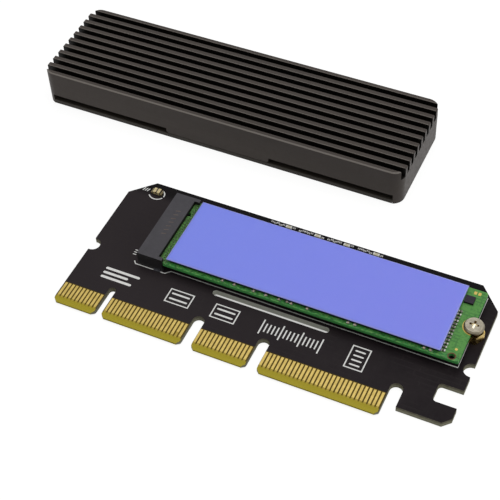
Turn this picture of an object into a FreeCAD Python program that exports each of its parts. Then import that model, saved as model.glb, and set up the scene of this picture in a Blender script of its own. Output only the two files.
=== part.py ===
# NVMe adapter card with its drive, thermal pad and finned aluminium case.
# Frame, in millimetres: x = 0 is the centre of the key notch, y = 0 the tips of the contact tabs and
# z = 0 the board's underside. +X runs along the contact edge, +Y away from it, +Z out of the component side.
import FreeCAD, Part
import math
import os
import re
import Sketcher

os.makedirs("parts", exist_ok=True)
doc = FreeCAD.newDocument("adapter_card")

# ---------------------------------------------------------------- driving dimensions

drivingSizes = {
    # printed board
    "boardThick": 1.6,
    "boardDepth": 44.6,
    "rearCutLeftX": 5.65, "rearCutLeftY": 5.6,
    "rearCutRightX": 5.7, "rearCutRightY": 6.4,
    # contact edge
    "contactPitch": 1.0,
    "contactWidth": 0.7,
    "contactThick": 0.05,
    "contactFoot": 1.8,
    "contactTop": 5.9,
    "shortContactFoot": 2.9,
    "keySideGap": 1.5,
    "keySideCount": 11, "firstCount": 21, "secondCount": 14, "thirdCount": 30, "skippedCount": 3,
    "tabMargin": 0.65,
    "keyNotchWidth": 1.9, "keyNotchTop": 8.9,
    "widthNotchWidth": 2.95, "widthNotchTop": 9.2,
    "tailNotchWidth": 3.15, "tailNotchTop": 9.5,
    "bevelTall": 1.5, "bevelDeep": 0.5,
    "tabCornerCut": 0.8,
    # retention hook
    "hookReach": 12.7, "hookFoot": 3.3, "hookCornerX": 1.9, "hookCornerY": 1.9,
    "hookSlotDeep": 5.9, "hookSlotFoot": 8.2, "hookSlotTall": 5.2, "hookSlotRound": 1.0,
    # milled openings
    "wallSlotWidth": 1.6, "wallSlotLeft": 22.9, "wallSlotLength": 30.5, "wallSlotY": 17.2,
    "endNotchRadius": 1.9, "endNotchInset": 0.3, "endNotchY": 19.5,
    # drive module
    "driveFar": 84.75, "driveLong": 80.0, "driveThick": 0.8,
    "driveLift": 2.45, "driveCentreY": 29.1,
    "plugDeep": 4.0, "plugSide": 0.675, "shoulderStep": 1.075, "plugKeyY": 6.125,
    "plugKeyWide": 1.2, "plugKeyDeep": 3.5,
    "driveHoleRadius": 1.75, "driveCorner": 0.5, "toolingHoleRadius": 0.75,
    "toolingHoleX": 2.0, "toolingHoleY": 1.1,
    "driveContactPitch": 0.5, "driveContactWide": 0.35, "driveContactLong": 2.0,
    "driveContactThick": 0.04, "driveContactInset": 0.2,
    "driveContactCount": 38, "driveKeyClear": 0.2,
    "chipTall": 0.8,
    "controllerInset": 8.0, "controllerSide": 12.0,
    "cacheLong": 8.0, "cacheWide": 12.5,
    "flashLong": 14.0, "flashWide": 18.0, "flashTail": 10.5,
    "powerChipX": 3.4, "powerChipY": 7.1, "powerChipLong": 2.3, "powerChipWide": 2.2, "powerChipTall": 0.6,
    "smallCapLong": 1.0, "smallCapWide": 0.5, "smallCapTall": 0.45, "smallCapCount": 13,
    "smallCapX": 4.3, "smallCapY": 1.8, "smallCapPitch": 1.02,
    "testSpotRadius": 0.35, "testSpotX": 1.65, "testSpotY": 3.3,
    "landX": 3.2, "landY": 9.4, "landLong": 0.7, "landWide": 0.9, "landPitch": 1.05,
    "ringRadius": 2.7, "ringInset": 0.15,
    # thermal pad
    "padInset": 0.8, "padTail": 4.75, "padSide": 0.4, "padThick": 0.5,
    # drive socket
    "socketReach": 2.85, "shoulderGap": 0.05, "socketWing": 0.975, "roofRoom": 0.33, "socketRoof": 0.62,
    "jawInset": 1.3, "socketBackWall": 0.7, "socketFit": 0.1,
    "tongueStart": 2.5, "tongueInset": 0.45, "tongueFoot": 0.4, "tongueRoom": 0.5, "backOutlet": 0.6,
    "keyRibGap": 0.125, "pegRadius": 0.4, "pegLong": 1.2, "pegInset": 1.5,
    "springThick": 0.12, "springWide": 0.28, "springTail": 0.9, "springFrontTail": 0.5,
    "springClear": 0.1, "springTouch": 1.2, "springRamp": 0.8, "springLip": 0.45, "springCurl": 0.12,
    "tabFoot": 0.5, "tabLong": 1.8, "tabTall": 0.5, "tabThick": 0.15, "tabX": 4.4,
    # standoff and screws
    "standoffFlats": 4.8, "standoffSpigot": 1.4,
    "screwHeadRadius": 2.45, "screwHeadTall": 0.95, "screwHeadEdge": 0.45, "screwHeadRound": 0.35,
    "screwShank": 0.95, "screwLong": 4.0,
    "crossWide": 0.55, "crossSpan": 2.3, "crossDeep": 0.6,
    # parts on the board
    "ledInset": 7.15, "ledRearInset": 3.0, "ledLong": 3.0, "ledWide": 1.5,
    "ledBaseTall": 0.4, "ledLensTall": 0.45,
    "ledLensLong": 2.0,
    "rearCapAlong": 26.85, "rearCapInset": 1.3, "rearCapPitch": 7.85, "rearCapCount": 4,
    "rearCapLong": 1.6, "rearCapWide": 0.8, "rearCapTall": 0.75, "capEnd": 0.3, "capSkin": 0.04,
    # case
    "caseAsideX": -36.2, "caseAsideY": 46.2,
    "roofThick": 0.85, "caseEndWall": 2.2, "caseRearWall": 1.5,
    "caseEndGap": 0.25, "caseRearGap": 0.2, "caseCorner": 3.2,
    "baseThick": 1.2, "baseRecess": 0.2, "baseGap": 0.1, "baseSkin": 0.85, "baseStepInset": 1.1,
    "baseRound": 1.2,
    "windowGap": 0.1, "padSqueeze": 0.15,
    "finCount": 11, "finThick": 1.25, "finTall": 2.95, "finEdgeCut": 0.12, "caseRimCut": 0.3,
    "tabSeamTall": 0.15, "tabLeadIn": 0.5,
    "rearPostInset": 2.0, "webInset": 0.6, "postBoreDeep": 4.2,
    "baseScrewHead": 1.7, "baseScrewShank": 0.95, "baseScrewLong": 4.6, "baseHoleGap": 0.1,
    "baseCrossWide": 0.4, "baseCrossSpan": 1.8, "baseCrossDeep": 0.45,
    # fits
    "pressGap": 0.01, "touchGap": 0.01, "pegGap": 0.05, "tabGap": 0.1, "postGap": 0.2, "screwGap": 0.05,
}

sizes = doc.addObject("Spreadsheet::Sheet", "Sizes")
for row, (alias, number) in enumerate(drivingSizes.items(), start=1):
    sizes.set("A%d" % row, alias)
    sizes.set("B%d" % row, str(number))
    sizes.setAlias("B%d" % row, alias)
doc.recompute()

places = {}


def full(text):
    # a size's name becomes its cell, and a place's name its own expression in brackets
    def swap(match):
        word = match.group(0)
        if word in places:
            return "(" + places[word] + ")"
        return "Sizes." + word if word in drivingSizes else word
    return re.sub(r"[A-Za-z]\w*", swap, str(text))


def value(text):
    return float(sizes.evalExpression(full(text)))


def count(text):
    return int(round(value(text)))


def place(name, text):
    places[name] = full(text)


# ---------------------------------------------------------------- places worked out from the sizes

# contact edge, from the key notch outwards
place("boardLeft", "-(keySideGap + (keySideCount - 1) * contactPitch + tabMargin)")
place("firstRun", "keySideGap")
place("firstEnd", "firstRun + (firstCount - 1) * contactPitch + tabMargin")
place("secondRun", "firstEnd - tabMargin + (skippedCount + 1) * contactPitch")
place("secondEnd", "secondRun + (secondCount - 1) * contactPitch + tabMargin")
place("thirdRun", "secondEnd - tabMargin + (skippedCount + 1) * contactPitch")
place("thirdEnd", "thirdRun + (thirdCount - 1) * contactPitch + tabMargin")
place("hookLeft", "thirdEnd + tailNotchWidth")
place("boardRight", "hookLeft + hookReach")
place("wallSlotRight", "wallSlotLeft + wallSlotLength")
place("leftScrewX", "boardLeft + endNotchInset")
place("rightScrewX", "boardRight - endNotchInset")
# drive module and what it sits on
place("driveNear", "driveFar - driveLong")
place("plugWide", "(driveContactCount - 1) * driveContactPitch + 2 * plugSide")
place("driveWide", "plugWide + 2 * shoulderStep")
place("driveFoot", "boardThick + driveLift")
place("driveTop", "driveFoot + driveThick")
place("driveSideY", "driveCentreY - driveWide / 2")
place("driveKeyCentreY", "driveCentreY + plugKeyY")
place("chipGap", "(driveLong - controllerInset - controllerSide - cacheLong - 2 * flashLong - flashTail) / 3")
place("cacheNear", "driveNear + controllerInset + controllerSide + chipGap")
place("flashNearNear", "cacheNear + cacheLong + chipGap")
place("flashFarNear", "flashNearNear + flashLong + chipGap")
place("socketBack", "driveNear - socketReach")
place("socketFront", "driveNear + plugDeep - shoulderGap")
place("socketJaw", "socketFront - jawInset")
place("socketInside", "plugWide + 2 * socketFit")
place("socketWide", "socketInside + 2 * socketWing")
place("socketSideY", "driveCentreY - socketWide / 2")
place("roofFoot", "driveTop + roofRoom")
place("socketTop", "roofFoot + socketRoof")
place("tongueNear", "socketBack + tongueStart")
place("tongueFar", "socketFront - tongueInset")
place("tongueTop", "driveFoot - tongueRoom")
place("pegX", "socketBack + pegInset")
place("pegSpread", "(socketInside + socketWing) / 2")
place("chipTop", "driveTop + chipTall")
place("padStart", "socketFront + padInset")
place("padWide", "driveWide - 2 * padSide")
place("padTop", "chipTop + padThick")
place("standoffBore", "screwShank + screwGap")
# small parts near the board's edges
place("ledX", "boardLeft + ledInset")
place("ledY", "boardDepth - ledRearInset")
place("rearCapX", "driveNear + rearCapAlong")
place("rearCapY", "boardDepth - rearCapInset")
# case, closed round the board, whose underside then lies on the base
place("baseTop", "baseRecess + baseThick")
place("caseFrontWall", "wallSlotWidth - 2 * tabGap")
place("caseLeft", "boardLeft - caseEndGap - caseEndWall")
place("caseRight", "boardRight + caseEndGap + caseEndWall")
place("caseFront", "wallSlotY - caseFrontWall / 2")
place("caseRear", "boardDepth + caseRearGap + caseRearWall")
place("caseCeiling", "baseTop + padTop - padSqueeze")
place("finFloor", "caseCeiling + roofThick")
place("caseTop", "finFloor + finTall")
place("windowTop", "baseTop + boardThick + windowGap")
place("tabStart", "wallSlotLeft + tabGap")
place("tabEnd", "wallSlotRight - tabGap")
place("innerLeft", "caseLeft + caseEndWall")
place("innerRight", "caseRight - caseEndWall")
place("innerFront", "caseFront + caseFrontWall")
place("innerRear", "caseRear - caseRearWall")
place("baseStep", "caseFront + baseStepInset")
place("postRadius", "endNotchRadius - postGap")
place("rearPostY", "innerRear - rearPostInset")
place("postBore", "baseScrewShank + screwGap")
place("finPitch", "(caseRear - caseFront - finThick) / (finCount - 1)")


# ---------------------------------------------------------------- sketch and feature helpers

def newBody(label):
    body = doc.addObject("PartDesign::Body", label)
    body.Label = label
    return body


def setPlace(item, x="0", y="0", z="0"):
    for axis, text in (("x", x), ("y", y), ("z", z)):
        item.setExpression(".Placement.Base." + axis, full(text))


def newSketch(body, name, role="XY_Plane", lift="0"):
    sketch = body.newObject("Sketcher::SketchObject", name)
    plane = next(item for item in body.Origin.OriginFeatures if item.Role == role)
    sketch.AttachmentSupport = [(plane, "")]
    sketch.MapMode = "FlatFace"
    sketch.setExpression(".AttachmentOffset.Base.z", full(lift))
    return sketch


def bind(sketch, constraint, text):
    index = sketch.addConstraint(constraint)
    sketch.setExpression("Constraints[%d]" % index, full(text))


def bindPoint(sketch, item, end, x, y):
    bind(sketch, Sketcher.Constraint("DistanceX", -1, 1, item, end, value(x)), x)
    bind(sketch, Sketcher.Constraint("DistanceY", -1, 1, item, end, value(y)), y)


def outline(sketch, corners):
    # closed straight-sided outline through corners given as pairs of expressions
    first = len(sketch.Geometry)
    points = [FreeCAD.Vector(value(x), value(y), 0) for x, y in corners]
    total = len(points)
    for i in range(total):
        sketch.addGeometry(Part.LineSegment(points[i], points[(i + 1) % total]), False)
    for i in range(total):
        sketch.addConstraint(Sketcher.Constraint("Coincident", first + i, 2, first + (i + 1) % total, 1))
    for i, (x, y) in enumerate(corners):
        bindPoint(sketch, first + i, 1, x, y)


def rectangle(sketch, x0, y0, x1, y1):
    outline(sketch, [(x0, y0), (x1, y0), (x1, y1), (x0, y1)])


def roundSlot(sketch, x0, y0, x1, y1, radius):
    # slot with two round ends, from centre to centre
    start = FreeCAD.Vector(value(x0), value(y0), 0)
    end = FreeCAD.Vector(value(x1), value(y1), 0)
    reach = value(radius)
    turn = math.atan2(end.y - start.y, end.x - start.x)
    side = FreeCAD.Vector(-math.sin(turn), math.cos(turn), 0) * reach
    up = FreeCAD.Vector(0, 0, 1)
    quarter = math.pi / 2
    first = len(sketch.Geometry)
    sketch.addGeometry(Part.ArcOfCircle(Part.Circle(end, up, reach), turn - quarter, turn + quarter), False)
    sketch.addGeometry(Part.LineSegment(end + side, start + side), False)
    sketch.addGeometry(
        Part.ArcOfCircle(Part.Circle(start, up, reach), turn + quarter, turn + 3 * quarter), False)
    sketch.addGeometry(Part.LineSegment(start - side, end - side), False)
    for i in range(4):
        sketch.addConstraint(Sketcher.Constraint("Tangent", first + i, 2, first + (i + 1) % 4, 1))
    sketch.addConstraint(Sketcher.Constraint("Equal", first, first + 2))
    bindPoint(sketch, first, 3, x1, y1)
    bindPoint(sketch, first + 2, 3, x0, y0)
    bind(sketch, Sketcher.Constraint("Radius", first, reach), radius)


def circle(sketch, x, y, radius):
    item = sketch.addGeometry(
        Part.Circle(FreeCAD.Vector(value(x), value(y), 0), FreeCAD.Vector(0, 0, 1), value(radius)), False)
    bindPoint(sketch, item, 3, x, y)
    bind(sketch, Sketcher.Constraint("Radius", item, value(radius)), radius)


def pad(body, sketch, name, length):
    feature = body.newObject("PartDesign::Pad", name)
    feature.Profile = sketch
    feature.setExpression("Length", full(length))
    doc.recompute()
    return feature


def pocket(body, sketch, name, length=None):
    # cuts along the sketch's own direction by length, or both ways through everything
    before = body.Shape.Volume
    feature = body.newObject("PartDesign::Pocket", name)
    feature.Profile = sketch
    if length is None:
        feature.SideType = "Symmetric"
        feature.Type = "ThroughAll"
    else:
        feature.Reversed = True
        feature.setExpression("Length", full(length))
    doc.recompute()
    if not body.Shape.Volume < before - 1e-6:
        raise ValueError(body.Label + ": " + name + " cuts nothing")
    return feature


def pickEdges(shape, wanted):
    return ["Edge%d" % (i + 1) for i, edge in enumerate(shape.Edges) if wanted(edge)]


def isUpright(edge):
    ends = edge.Vertexes
    return (len(ends) == 2 and abs(ends[0].X - ends[1].X) < 1e-6 and abs(ends[0].Y - ends[1].Y) < 1e-6
            and abs(ends[0].Z - ends[1].Z) > 1e-6)


def runsAlongX(edge):
    ends = edge.Vertexes
    return (len(ends) == 2 and abs(ends[0].Y - ends[1].Y) < 1e-6 and abs(ends[0].Z - ends[1].Z) < 1e-6
            and abs(ends[0].X - ends[1].X) > 1e-6)


def runsAlongY(edge):
    ends = edge.Vertexes
    return (len(ends) == 2 and abs(ends[0].X - ends[1].X) < 1e-6 and abs(ends[0].Z - ends[1].Z) < 1e-6
            and abs(ends[0].Y - ends[1].Y) > 1e-6)


def near(number, text):
    return abs(number - value(text)) < 1e-4


def soften(body, kind, name, edges, size):
    # fillet or chamfer on the named edges of the body's last feature
    base = body.Tip
    feature = body.newObject("PartDesign::" + kind, name)
    feature.Base = (base, edges)
    feature.setExpression("Radius" if kind == "Fillet" else "Size", full(size))
    doc.recompute()
    return feature


def namedShape(label, shape):
    item = doc.addObject("Part::Feature", label)
    item.Label = label
    item.Shape = shape
    return item


def boxShape(x, y, z, long, wide, tall):
    return Part.makeBox(long, wide, tall, FreeCAD.Vector(x, y, z))


# ---------------------------------------------------------------- printed board

def makeBoard():
    board = newBody("adapter_board")
    shape = newSketch(board, "boardOutline")
    outline(shape, [
        ("boardLeft", "0"), ("hookLeft - tailNotchWidth / 2", "0"),
        ("hookLeft - tailNotchWidth / 2", "hookFoot"), ("boardRight - hookCornerX", "hookFoot"),
        ("boardRight", "hookFoot + hookCornerY"), ("boardRight", "boardDepth - rearCutRightY"),
        ("boardRight - rearCutRightX", "boardDepth"), ("boardLeft + rearCutLeftX", "boardDepth"),
        ("boardLeft", "boardDepth - rearCutLeftY")])
    pad(board, shape, "boardPlate", "boardThick")

    # notches between the contact tabs, each with a round top
    notches = newSketch(board, "edgeNotches")
    for centre, width, top in [
            ("0", "keyNotchWidth", "keyNotchTop"),
            ("firstEnd + widthNotchWidth / 2", "widthNotchWidth", "widthNotchTop"),
            ("secondEnd + widthNotchWidth / 2", "widthNotchWidth", "widthNotchTop"),
            ("thirdEnd + tailNotchWidth / 2", "tailNotchWidth", "tailNotchTop")]:
        roundSlot(notches, centre, "-contactTop", centre, "%s - %s / 2" % (top, width), width + " / 2")
    pocket(board, notches, "edgeNotchCuts")

    tabCorners = [value(x) for x in (
        "boardLeft", "-keyNotchWidth / 2", "keyNotchWidth / 2", "firstEnd", "firstEnd + widthNotchWidth",
        "secondEnd", "secondEnd + widthNotchWidth", "thirdEnd")]
    corners = pickEdges(board.Shape, lambda edge: isUpright(edge) and near(edge.Vertexes[0].Y, "0")
                        and any(abs(edge.Vertexes[0].X - x) < 1e-4 for x in tabCorners))
    soften(board, "Chamfer", "tabCorners", corners, "tabCornerCut")

    # hook slot that the connector's latch drops into
    latch = newSketch(board, "hookSlot")
    rectangle(latch, "boardRight - hookSlotDeep", "hookSlotFoot", "boardRight + hookSlotDeep",
              "hookSlotFoot + hookSlotTall")
    pocket(board, latch, "hookSlotCut")
    inner = pickEdges(board.Shape, lambda edge: isUpright(edge)
                      and near(edge.Vertexes[0].X, "boardRight - hookSlotDeep"))
    soften(board, "Fillet", "hookSlotRounds", inner, "hookSlotRound")

    # long slot for the case's middle tab, and end notches for its front screw posts
    openings = newSketch(board, "milledOpenings")
    roundSlot(openings, "wallSlotLeft + wallSlotWidth / 2", "wallSlotY",
              "wallSlotRight - wallSlotWidth / 2", "wallSlotY", "wallSlotWidth / 2")
    roundSlot(
        openings, "boardLeft - endNotchRadius", "endNotchY", "leftScrewX", "endNotchY", "endNotchRadius")
    roundSlot(openings, "rightScrewX", "endNotchY", "boardRight + endNotchRadius", "endNotchY",
              "endNotchRadius")
    circle(openings, "driveFar", "driveCentreY", "standoffSpigot + pressGap")
    for side in ("-", "+"):
        circle(openings, "pegX", "driveCentreY %s pegSpread" % side, "pegRadius + pegGap")
    pocket(board, openings, "milledCuts")

    # bare laminate round the contacts lies below the lacquered faces by the contacts' thickness
    for name, lift in (("lower", "0"), ("upper", "boardThick - contactThick")):
        bare = newSketch(board, name + "BareEdge", lift=lift)
        rectangle(bare, "boardLeft - 1", "-1", "hookLeft - tailNotchWidth / 2", "contactTop")
        pocket(board, bare, name + "BareCut", "contactThick")

    # lead-in bevels on both faces of the tabs
    bevel = newSketch(board, "edgeBevel", role="YZ_Plane", lift="boardLeft - 1")
    for face, away in (("contactThick", "-1"), ("boardThick - contactThick", "boardThick + 1")):
        inward = "+" if away == "-1" else "-"
        outline(bevel, [("bevelTall", face), ("0", "%s %s bevelDeep" % (face, inward)),
                        ("-1", "%s %s bevelDeep" % (face, inward)), ("-1", away), ("bevelTall", away)])
    pocket(board, bevel, "bevelCuts", "hookLeft - tailNotchWidth / 2 - boardLeft + 1")
    return board


def makeEdgeContacts(label, foot, shortPlace):
    # one flat strip per place; the places swallowed by the width notches have none
    pitch = value("contactPitch")
    wide = value("contactWidth")
    thick = value("contactThick")
    low = value("contactFoot")
    top = value("contactTop")
    runs = [(-value("keySideGap") - (count("keySideCount") - 1) * pitch, count("keySideCount")),
            (value("firstRun"), count("firstCount")),
            (value("secondRun"), count("secondCount")),
            (value("thirdRun"), count("thirdCount"))]
    strips = []
    for start, total in runs:
        for i in range(total):
            isShort = (start, i) == (runs[shortPlace[0]][0], shortPlace[1])
            bottom = value("shortContactFoot") if isShort else low
            strips.append(boxShape(start + i * pitch - wide / 2, bottom, foot, wide, top - bottom, thick))
    return namedShape(label, Part.makeCompound(strips))


# ---------------------------------------------------------------- drive module

def drivePlaces(isUpper):
    # y of each contact; the upper row has one more than the lower, and the key takes four of each
    pitch = value("driveContactPitch")
    total = count("driveContactCount") - (0 if isUpper else 1)
    taken = value("(plugKeyWide + driveContactWide) / 2 + driveKeyClear")
    key = value("driveKeyCentreY")
    rows = [value("driveCentreY") + (i - (total - 1) / 2) * pitch for i in range(total)]
    return [y for y in rows if abs(y - key) > taken]


def makeDriveBoard():
    board = newBody("drive_board")
    shape = newSketch(board, "driveOutline", lift="driveFoot")
    shoulder = "driveNear + plugDeep"
    outline(shape, [
        ("driveNear", "driveCentreY - plugWide / 2"), (shoulder, "driveCentreY - plugWide / 2"),
        (shoulder, "driveCentreY - driveWide / 2"), ("driveFar", "driveCentreY - driveWide / 2"),
        ("driveFar", "driveCentreY + driveWide / 2"), (shoulder, "driveCentreY + driveWide / 2"),
        (shoulder, "driveCentreY + plugWide / 2"), ("driveNear", "driveCentreY + plugWide / 2")])
    pad(board, shape, "drivePlate", "driveThick")
    outer = pickEdges(board.Shape, lambda edge: isUpright(edge) and any(
        near(edge.Vertexes[0].Y, "driveCentreY %s driveWide / 2" % side) for side in "+-"))
    soften(board, "Fillet", "driveCorners", outer, "driveCorner")
    holes = newSketch(board, "driveHoles", lift="driveFoot")
    roundSlot(holes, "driveNear - plugKeyWide", "driveKeyCentreY",
              "driveNear + plugKeyDeep - plugKeyWide / 2", "driveKeyCentreY", "plugKeyWide / 2")
    circle(holes, "driveFar", "driveCentreY", "driveHoleRadius")
    circle(holes, "driveFar - toolingHoleX", "driveSideY + toolingHoleY", "toolingHoleRadius")
    pocket(board, holes, "driveHoleCuts")
    return board


def makeDriveContacts(label, foot, isUpper):
    wide = value("driveContactWide")
    strips = [boxShape(value("driveNear + driveContactInset"), y - wide / 2, foot,
                       value("driveContactLong"), wide, value("driveContactThick"))
              for y in drivePlaces(isUpper)]
    return namedShape(label, Part.makeCompound(strips))


def makeBlock(label, x, y, z, long, wide, tall):
    # plain moulded block with its low corner at x, y, z
    block = doc.addObject("Part::Box", label)
    block.Label = label
    for name, text in (("Length", long), ("Width", wide), ("Height", tall)):
        block.setExpression(name, full(text))
    setPlace(block, x, y, z)
    return block


def makeChips():
    chips = []
    for label, x, long, wide in (
            ("drive_controller", "driveNear + controllerInset", "controllerSide", "controllerSide"),
            ("drive_cache_chip", "cacheNear", "cacheLong", "cacheWide"),
            ("drive_flash_near", "flashNearNear", "flashLong", "flashWide"),
            ("drive_flash_far", "flashFarNear", "flashLong", "flashWide")):
        chips.append(makeBlock(label, x, "driveCentreY - %s / 2" % wide, "driveTop", long, wide, "chipTall"))
    chips.append(makeBlock(
        "drive_power_chip", "driveFar - powerChipX - powerChipLong / 2",
        "driveCentreY + powerChipY - powerChipWide / 2", "driveTop",
        "powerChipLong", "powerChipWide", "powerChipTall"))
    return chips


def chipCapacitor(x, y, z, long, wide, tall):
    # body a little lower than its plated ends; x, y is the middle of the footprint
    cap = min(value("capEnd"), long / 3)
    low = tall - value("capSkin")
    rim = [FreeCAD.Vector(x + along, y - wide / 2, z + up) for along, up in (
        (-long / 2, 0), (long / 2, 0), (long / 2, tall), (long / 2 - cap, tall), (long / 2 - cap, low),
        (cap - long / 2, low), (cap - long / 2, tall), (-long / 2, tall))]
    return Part.Face(Part.makePolygon(rim + rim[:1])).extrude(FreeCAD.Vector(0, wide, 0))


def makeDriveCapacitors():
    x = value("driveFar - smallCapX")
    foot = value("driveSideY + smallCapY")
    parts = [chipCapacitor(x, foot + i * value("smallCapPitch"), value("driveTop"), value("smallCapLong"),
                           value("smallCapWide"), value("smallCapTall"))
             for i in range(count("smallCapCount"))]
    return namedShape("drive_capacitors", Part.makeCompound(parts))


def makeDriveTestPads():
    # gilt spots: one round pad, two small lands, and the ring round the screw's half hole
    top = value("driveTop")
    thick = value("driveContactThick")
    up = FreeCAD.Vector(0, 0, 1)
    spot = Part.makeCylinder(value("testSpotRadius"), thick, FreeCAD.Vector(
        value("driveFar - testSpotX"), value("driveSideY + testSpotY"), top), up)
    lands = [boxShape(value("driveFar - landX") + i * value("landPitch"), value("driveCentreY + landY"), top,
                      value("landLong"), value("landWide"), thick) for i in range(2)]
    middle = FreeCAD.Vector(value("driveFar"), value("driveCentreY"), top)
    ring = Part.makeCylinder(value("ringRadius"), thick, middle, up)
    ring = ring.cut(Part.makeCylinder(value("driveHoleRadius + ringInset"), thick, middle, up))
    reach = value("ringRadius")
    ring = ring.common(boxShape(middle.x - reach, middle.y - reach, top, reach, 2 * reach, thick))
    return namedShape("drive_test_pads", Part.makeCompound([spot, ring] + lands))


def makeThermalPad():
    cushion = newBody("thermal_pad")
    shape = newSketch(cushion, "padOutline", lift="chipTop")
    rectangle(shape, "padStart", "driveCentreY - padWide / 2", "driveFar - padTail",
              "driveCentreY + padWide / 2")
    pad(cushion, shape, "padSheet", "padThick")
    return cushion


# ---------------------------------------------------------------- drive socket

def makeSocketHousing():
    housing = newBody("socket_housing")
    block = newSketch(housing, "socketBlock", lift="boardThick")
    rectangle(block, "socketBack", "socketSideY", "socketFront", "socketSideY + socketWide")
    pad(housing, block, "socketMoulding", "socketTop - boardThick")

    # everything between the two side walls but the roof, the back wall and the tongue under the drive
    space = newSketch(housing, "socketSpace", role="XZ_Plane", lift="-(driveCentreY + socketInside / 2)")
    inside = "socketBack + socketBackWall"
    outline(space, [
        ("socketFront + 1", "boardThick - 1"), ("socketFront + 1", "socketTop + 1"),
        ("socketJaw", "socketTop + 1"), ("socketJaw", "roofFoot"), (inside, "roofFoot"),
        (inside, "boardThick + backOutlet"), ("socketBack - 1", "boardThick + backOutlet"),
        ("socketBack - 1", "boardThick - 1")])
    rectangle(space, "tongueNear", "boardThick + tongueFoot", "tongueFar", "tongueTop")
    pocket(housing, space, "socketSpaceCut", "socketInside")

    rib = newSketch(housing, "keyRib", lift="tongueTop")
    ribHalf = "(plugKeyWide / 2 - keyRibGap)"
    rectangle(rib, "tongueNear", "driveKeyCentreY - " + ribHalf, "socketJaw", "driveKeyCentreY + " + ribHalf)
    pad(housing, rib, "keyRibBlock", "roofFoot - tongueTop")

    pegs = newSketch(housing, "pegCircles", lift="boardThick - pegLong")
    for side in "-+":
        circle(pegs, "pegX", "driveCentreY %s pegSpread" % side, "pegRadius")
    pad(housing, pegs, "pegs", "pegLong")
    return housing


def stripShape(path, y):
    # bent flat spring along path, a list of (x, z), with mitred bends
    half = value("springThick") / 2
    wide = value("springWide")
    points = [FreeCAD.Vector(x, 0, z) for x, z in path]
    sides = [(b - a).normalize() for a, b in zip(points, points[1:])]
    normals = [FreeCAD.Vector(-side.z, 0, side.x) for side in sides]
    offsets = [normals[0]]
    for before, after in zip(normals, normals[1:]):
        middle = (before + after).normalize()
        offsets.append(middle / middle.dot(before))
    offsets.append(normals[-1])
    rim = [p + o * half for p, o in zip(points, offsets)]
    rim += [p - o * half for p, o in reversed(list(zip(points, offsets)))]
    face = Part.Face(Part.makePolygon(rim + rim[:1]))
    face.translate(FreeCAD.Vector(0, y - wide / 2, 0))
    return face.extrude(FreeCAD.Vector(0, wide, 0))


def makeSocketContacts():
    half = value("springThick") / 2
    onBoard = value("boardThick") + half
    # the upper row comes out at the back, runs up inside the back wall and under the roof
    climb = value("socketBack + socketBackWall + springClear") + half
    roof = value("roofFoot - springClear") - half
    touch = value("socketJaw - springTouch")
    drop = value("driveTop + driveContactThick + touchGap") + half
    upper = [(value("socketBack - springTail"), onBoard), (climb, onBoard), (climb, roof),
             (touch - value("springRamp"), roof), (touch, drop),
             (touch + value("springLip"), drop + value("springCurl"))]
    # the lower row comes out at the front, runs back under the tongue and over it
    rise = value("tongueNear - springClear") - half
    over = value("tongueTop + springClear") + half
    lift = value("driveFoot - driveContactThick - touchGap") - half
    lower = [(value("socketFront + springFrontTail"), onBoard), (rise, onBoard), (rise, over),
             (touch - value("springRamp"), over), (touch, lift),
             (touch + value("springLip"), lift - value("springCurl"))]
    return [namedShape(label, Part.makeCompound([stripShape(path, y) for y in drivePlaces(isUpper)]))
            for label, path, isUpper in (("socket_contacts_upper", upper, True),
                                         ("socket_contacts_lower", lower, False))]


def makeHoldDowns():
    # soldered foot and an upright against each side wall
    x = value("socketBack + tabX")
    z = value("boardThick")
    foot = value("tabFoot")
    thick = value("tabThick")
    tabs = []
    for wall, away in ((value("socketSideY"), -1), (value("socketSideY + socketWide"), 1)):
        corners = [(0, 0), (foot, 0), (foot, thick), (thick, thick), (thick, value("tabTall")),
                   (0, value("tabTall"))]
        rim = [FreeCAD.Vector(x, wall + away * y, z + up) for y, up in corners]
        tabs.append(Part.Face(Part.makePolygon(rim + rim[:1])).extrude(
            FreeCAD.Vector(value("tabLong"), 0, 0)))
    return namedShape("socket_hold_downs", Part.makeCompound(tabs))


# ---------------------------------------------------------------- standoff, drive screw, small parts

def makeStandoff():
    # hexagon post with a spigot pressed into the board, bored right through for the drive's screw
    post = doc.addObject("Part::Prism", "standoffPost")
    post.Polygon = 6
    post.setExpression("Circumradius", full("standoffFlats / sqrt(3)"))
    post.setExpression("Height", full("driveLift"))
    setPlace(post, "driveFar", "driveCentreY", "boardThick")
    spigot = doc.addObject("Part::Cylinder", "standoffSpigot")
    spigot.setExpression("Radius", full("standoffSpigot"))
    spigot.setExpression("Height", full("boardThick"))
    setPlace(spigot, "driveFar", "driveCentreY")
    bore = doc.addObject("Part::Cylinder", "standoffBore")
    bore.setExpression("Radius", full("standoffBore"))
    bore.setExpression("Height", full("driveFoot + 2"))
    setPlace(bore, "driveFar", "driveCentreY", "-1")
    joined = doc.addObject("Part::Fuse", "standoffBody")
    joined.Base = post
    joined.Tool = spigot
    standoff = doc.addObject("Part::Cut", "standoff")
    standoff.Label = "standoff"
    standoff.Base = joined
    standoff.Tool = bore
    return standoff


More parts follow.
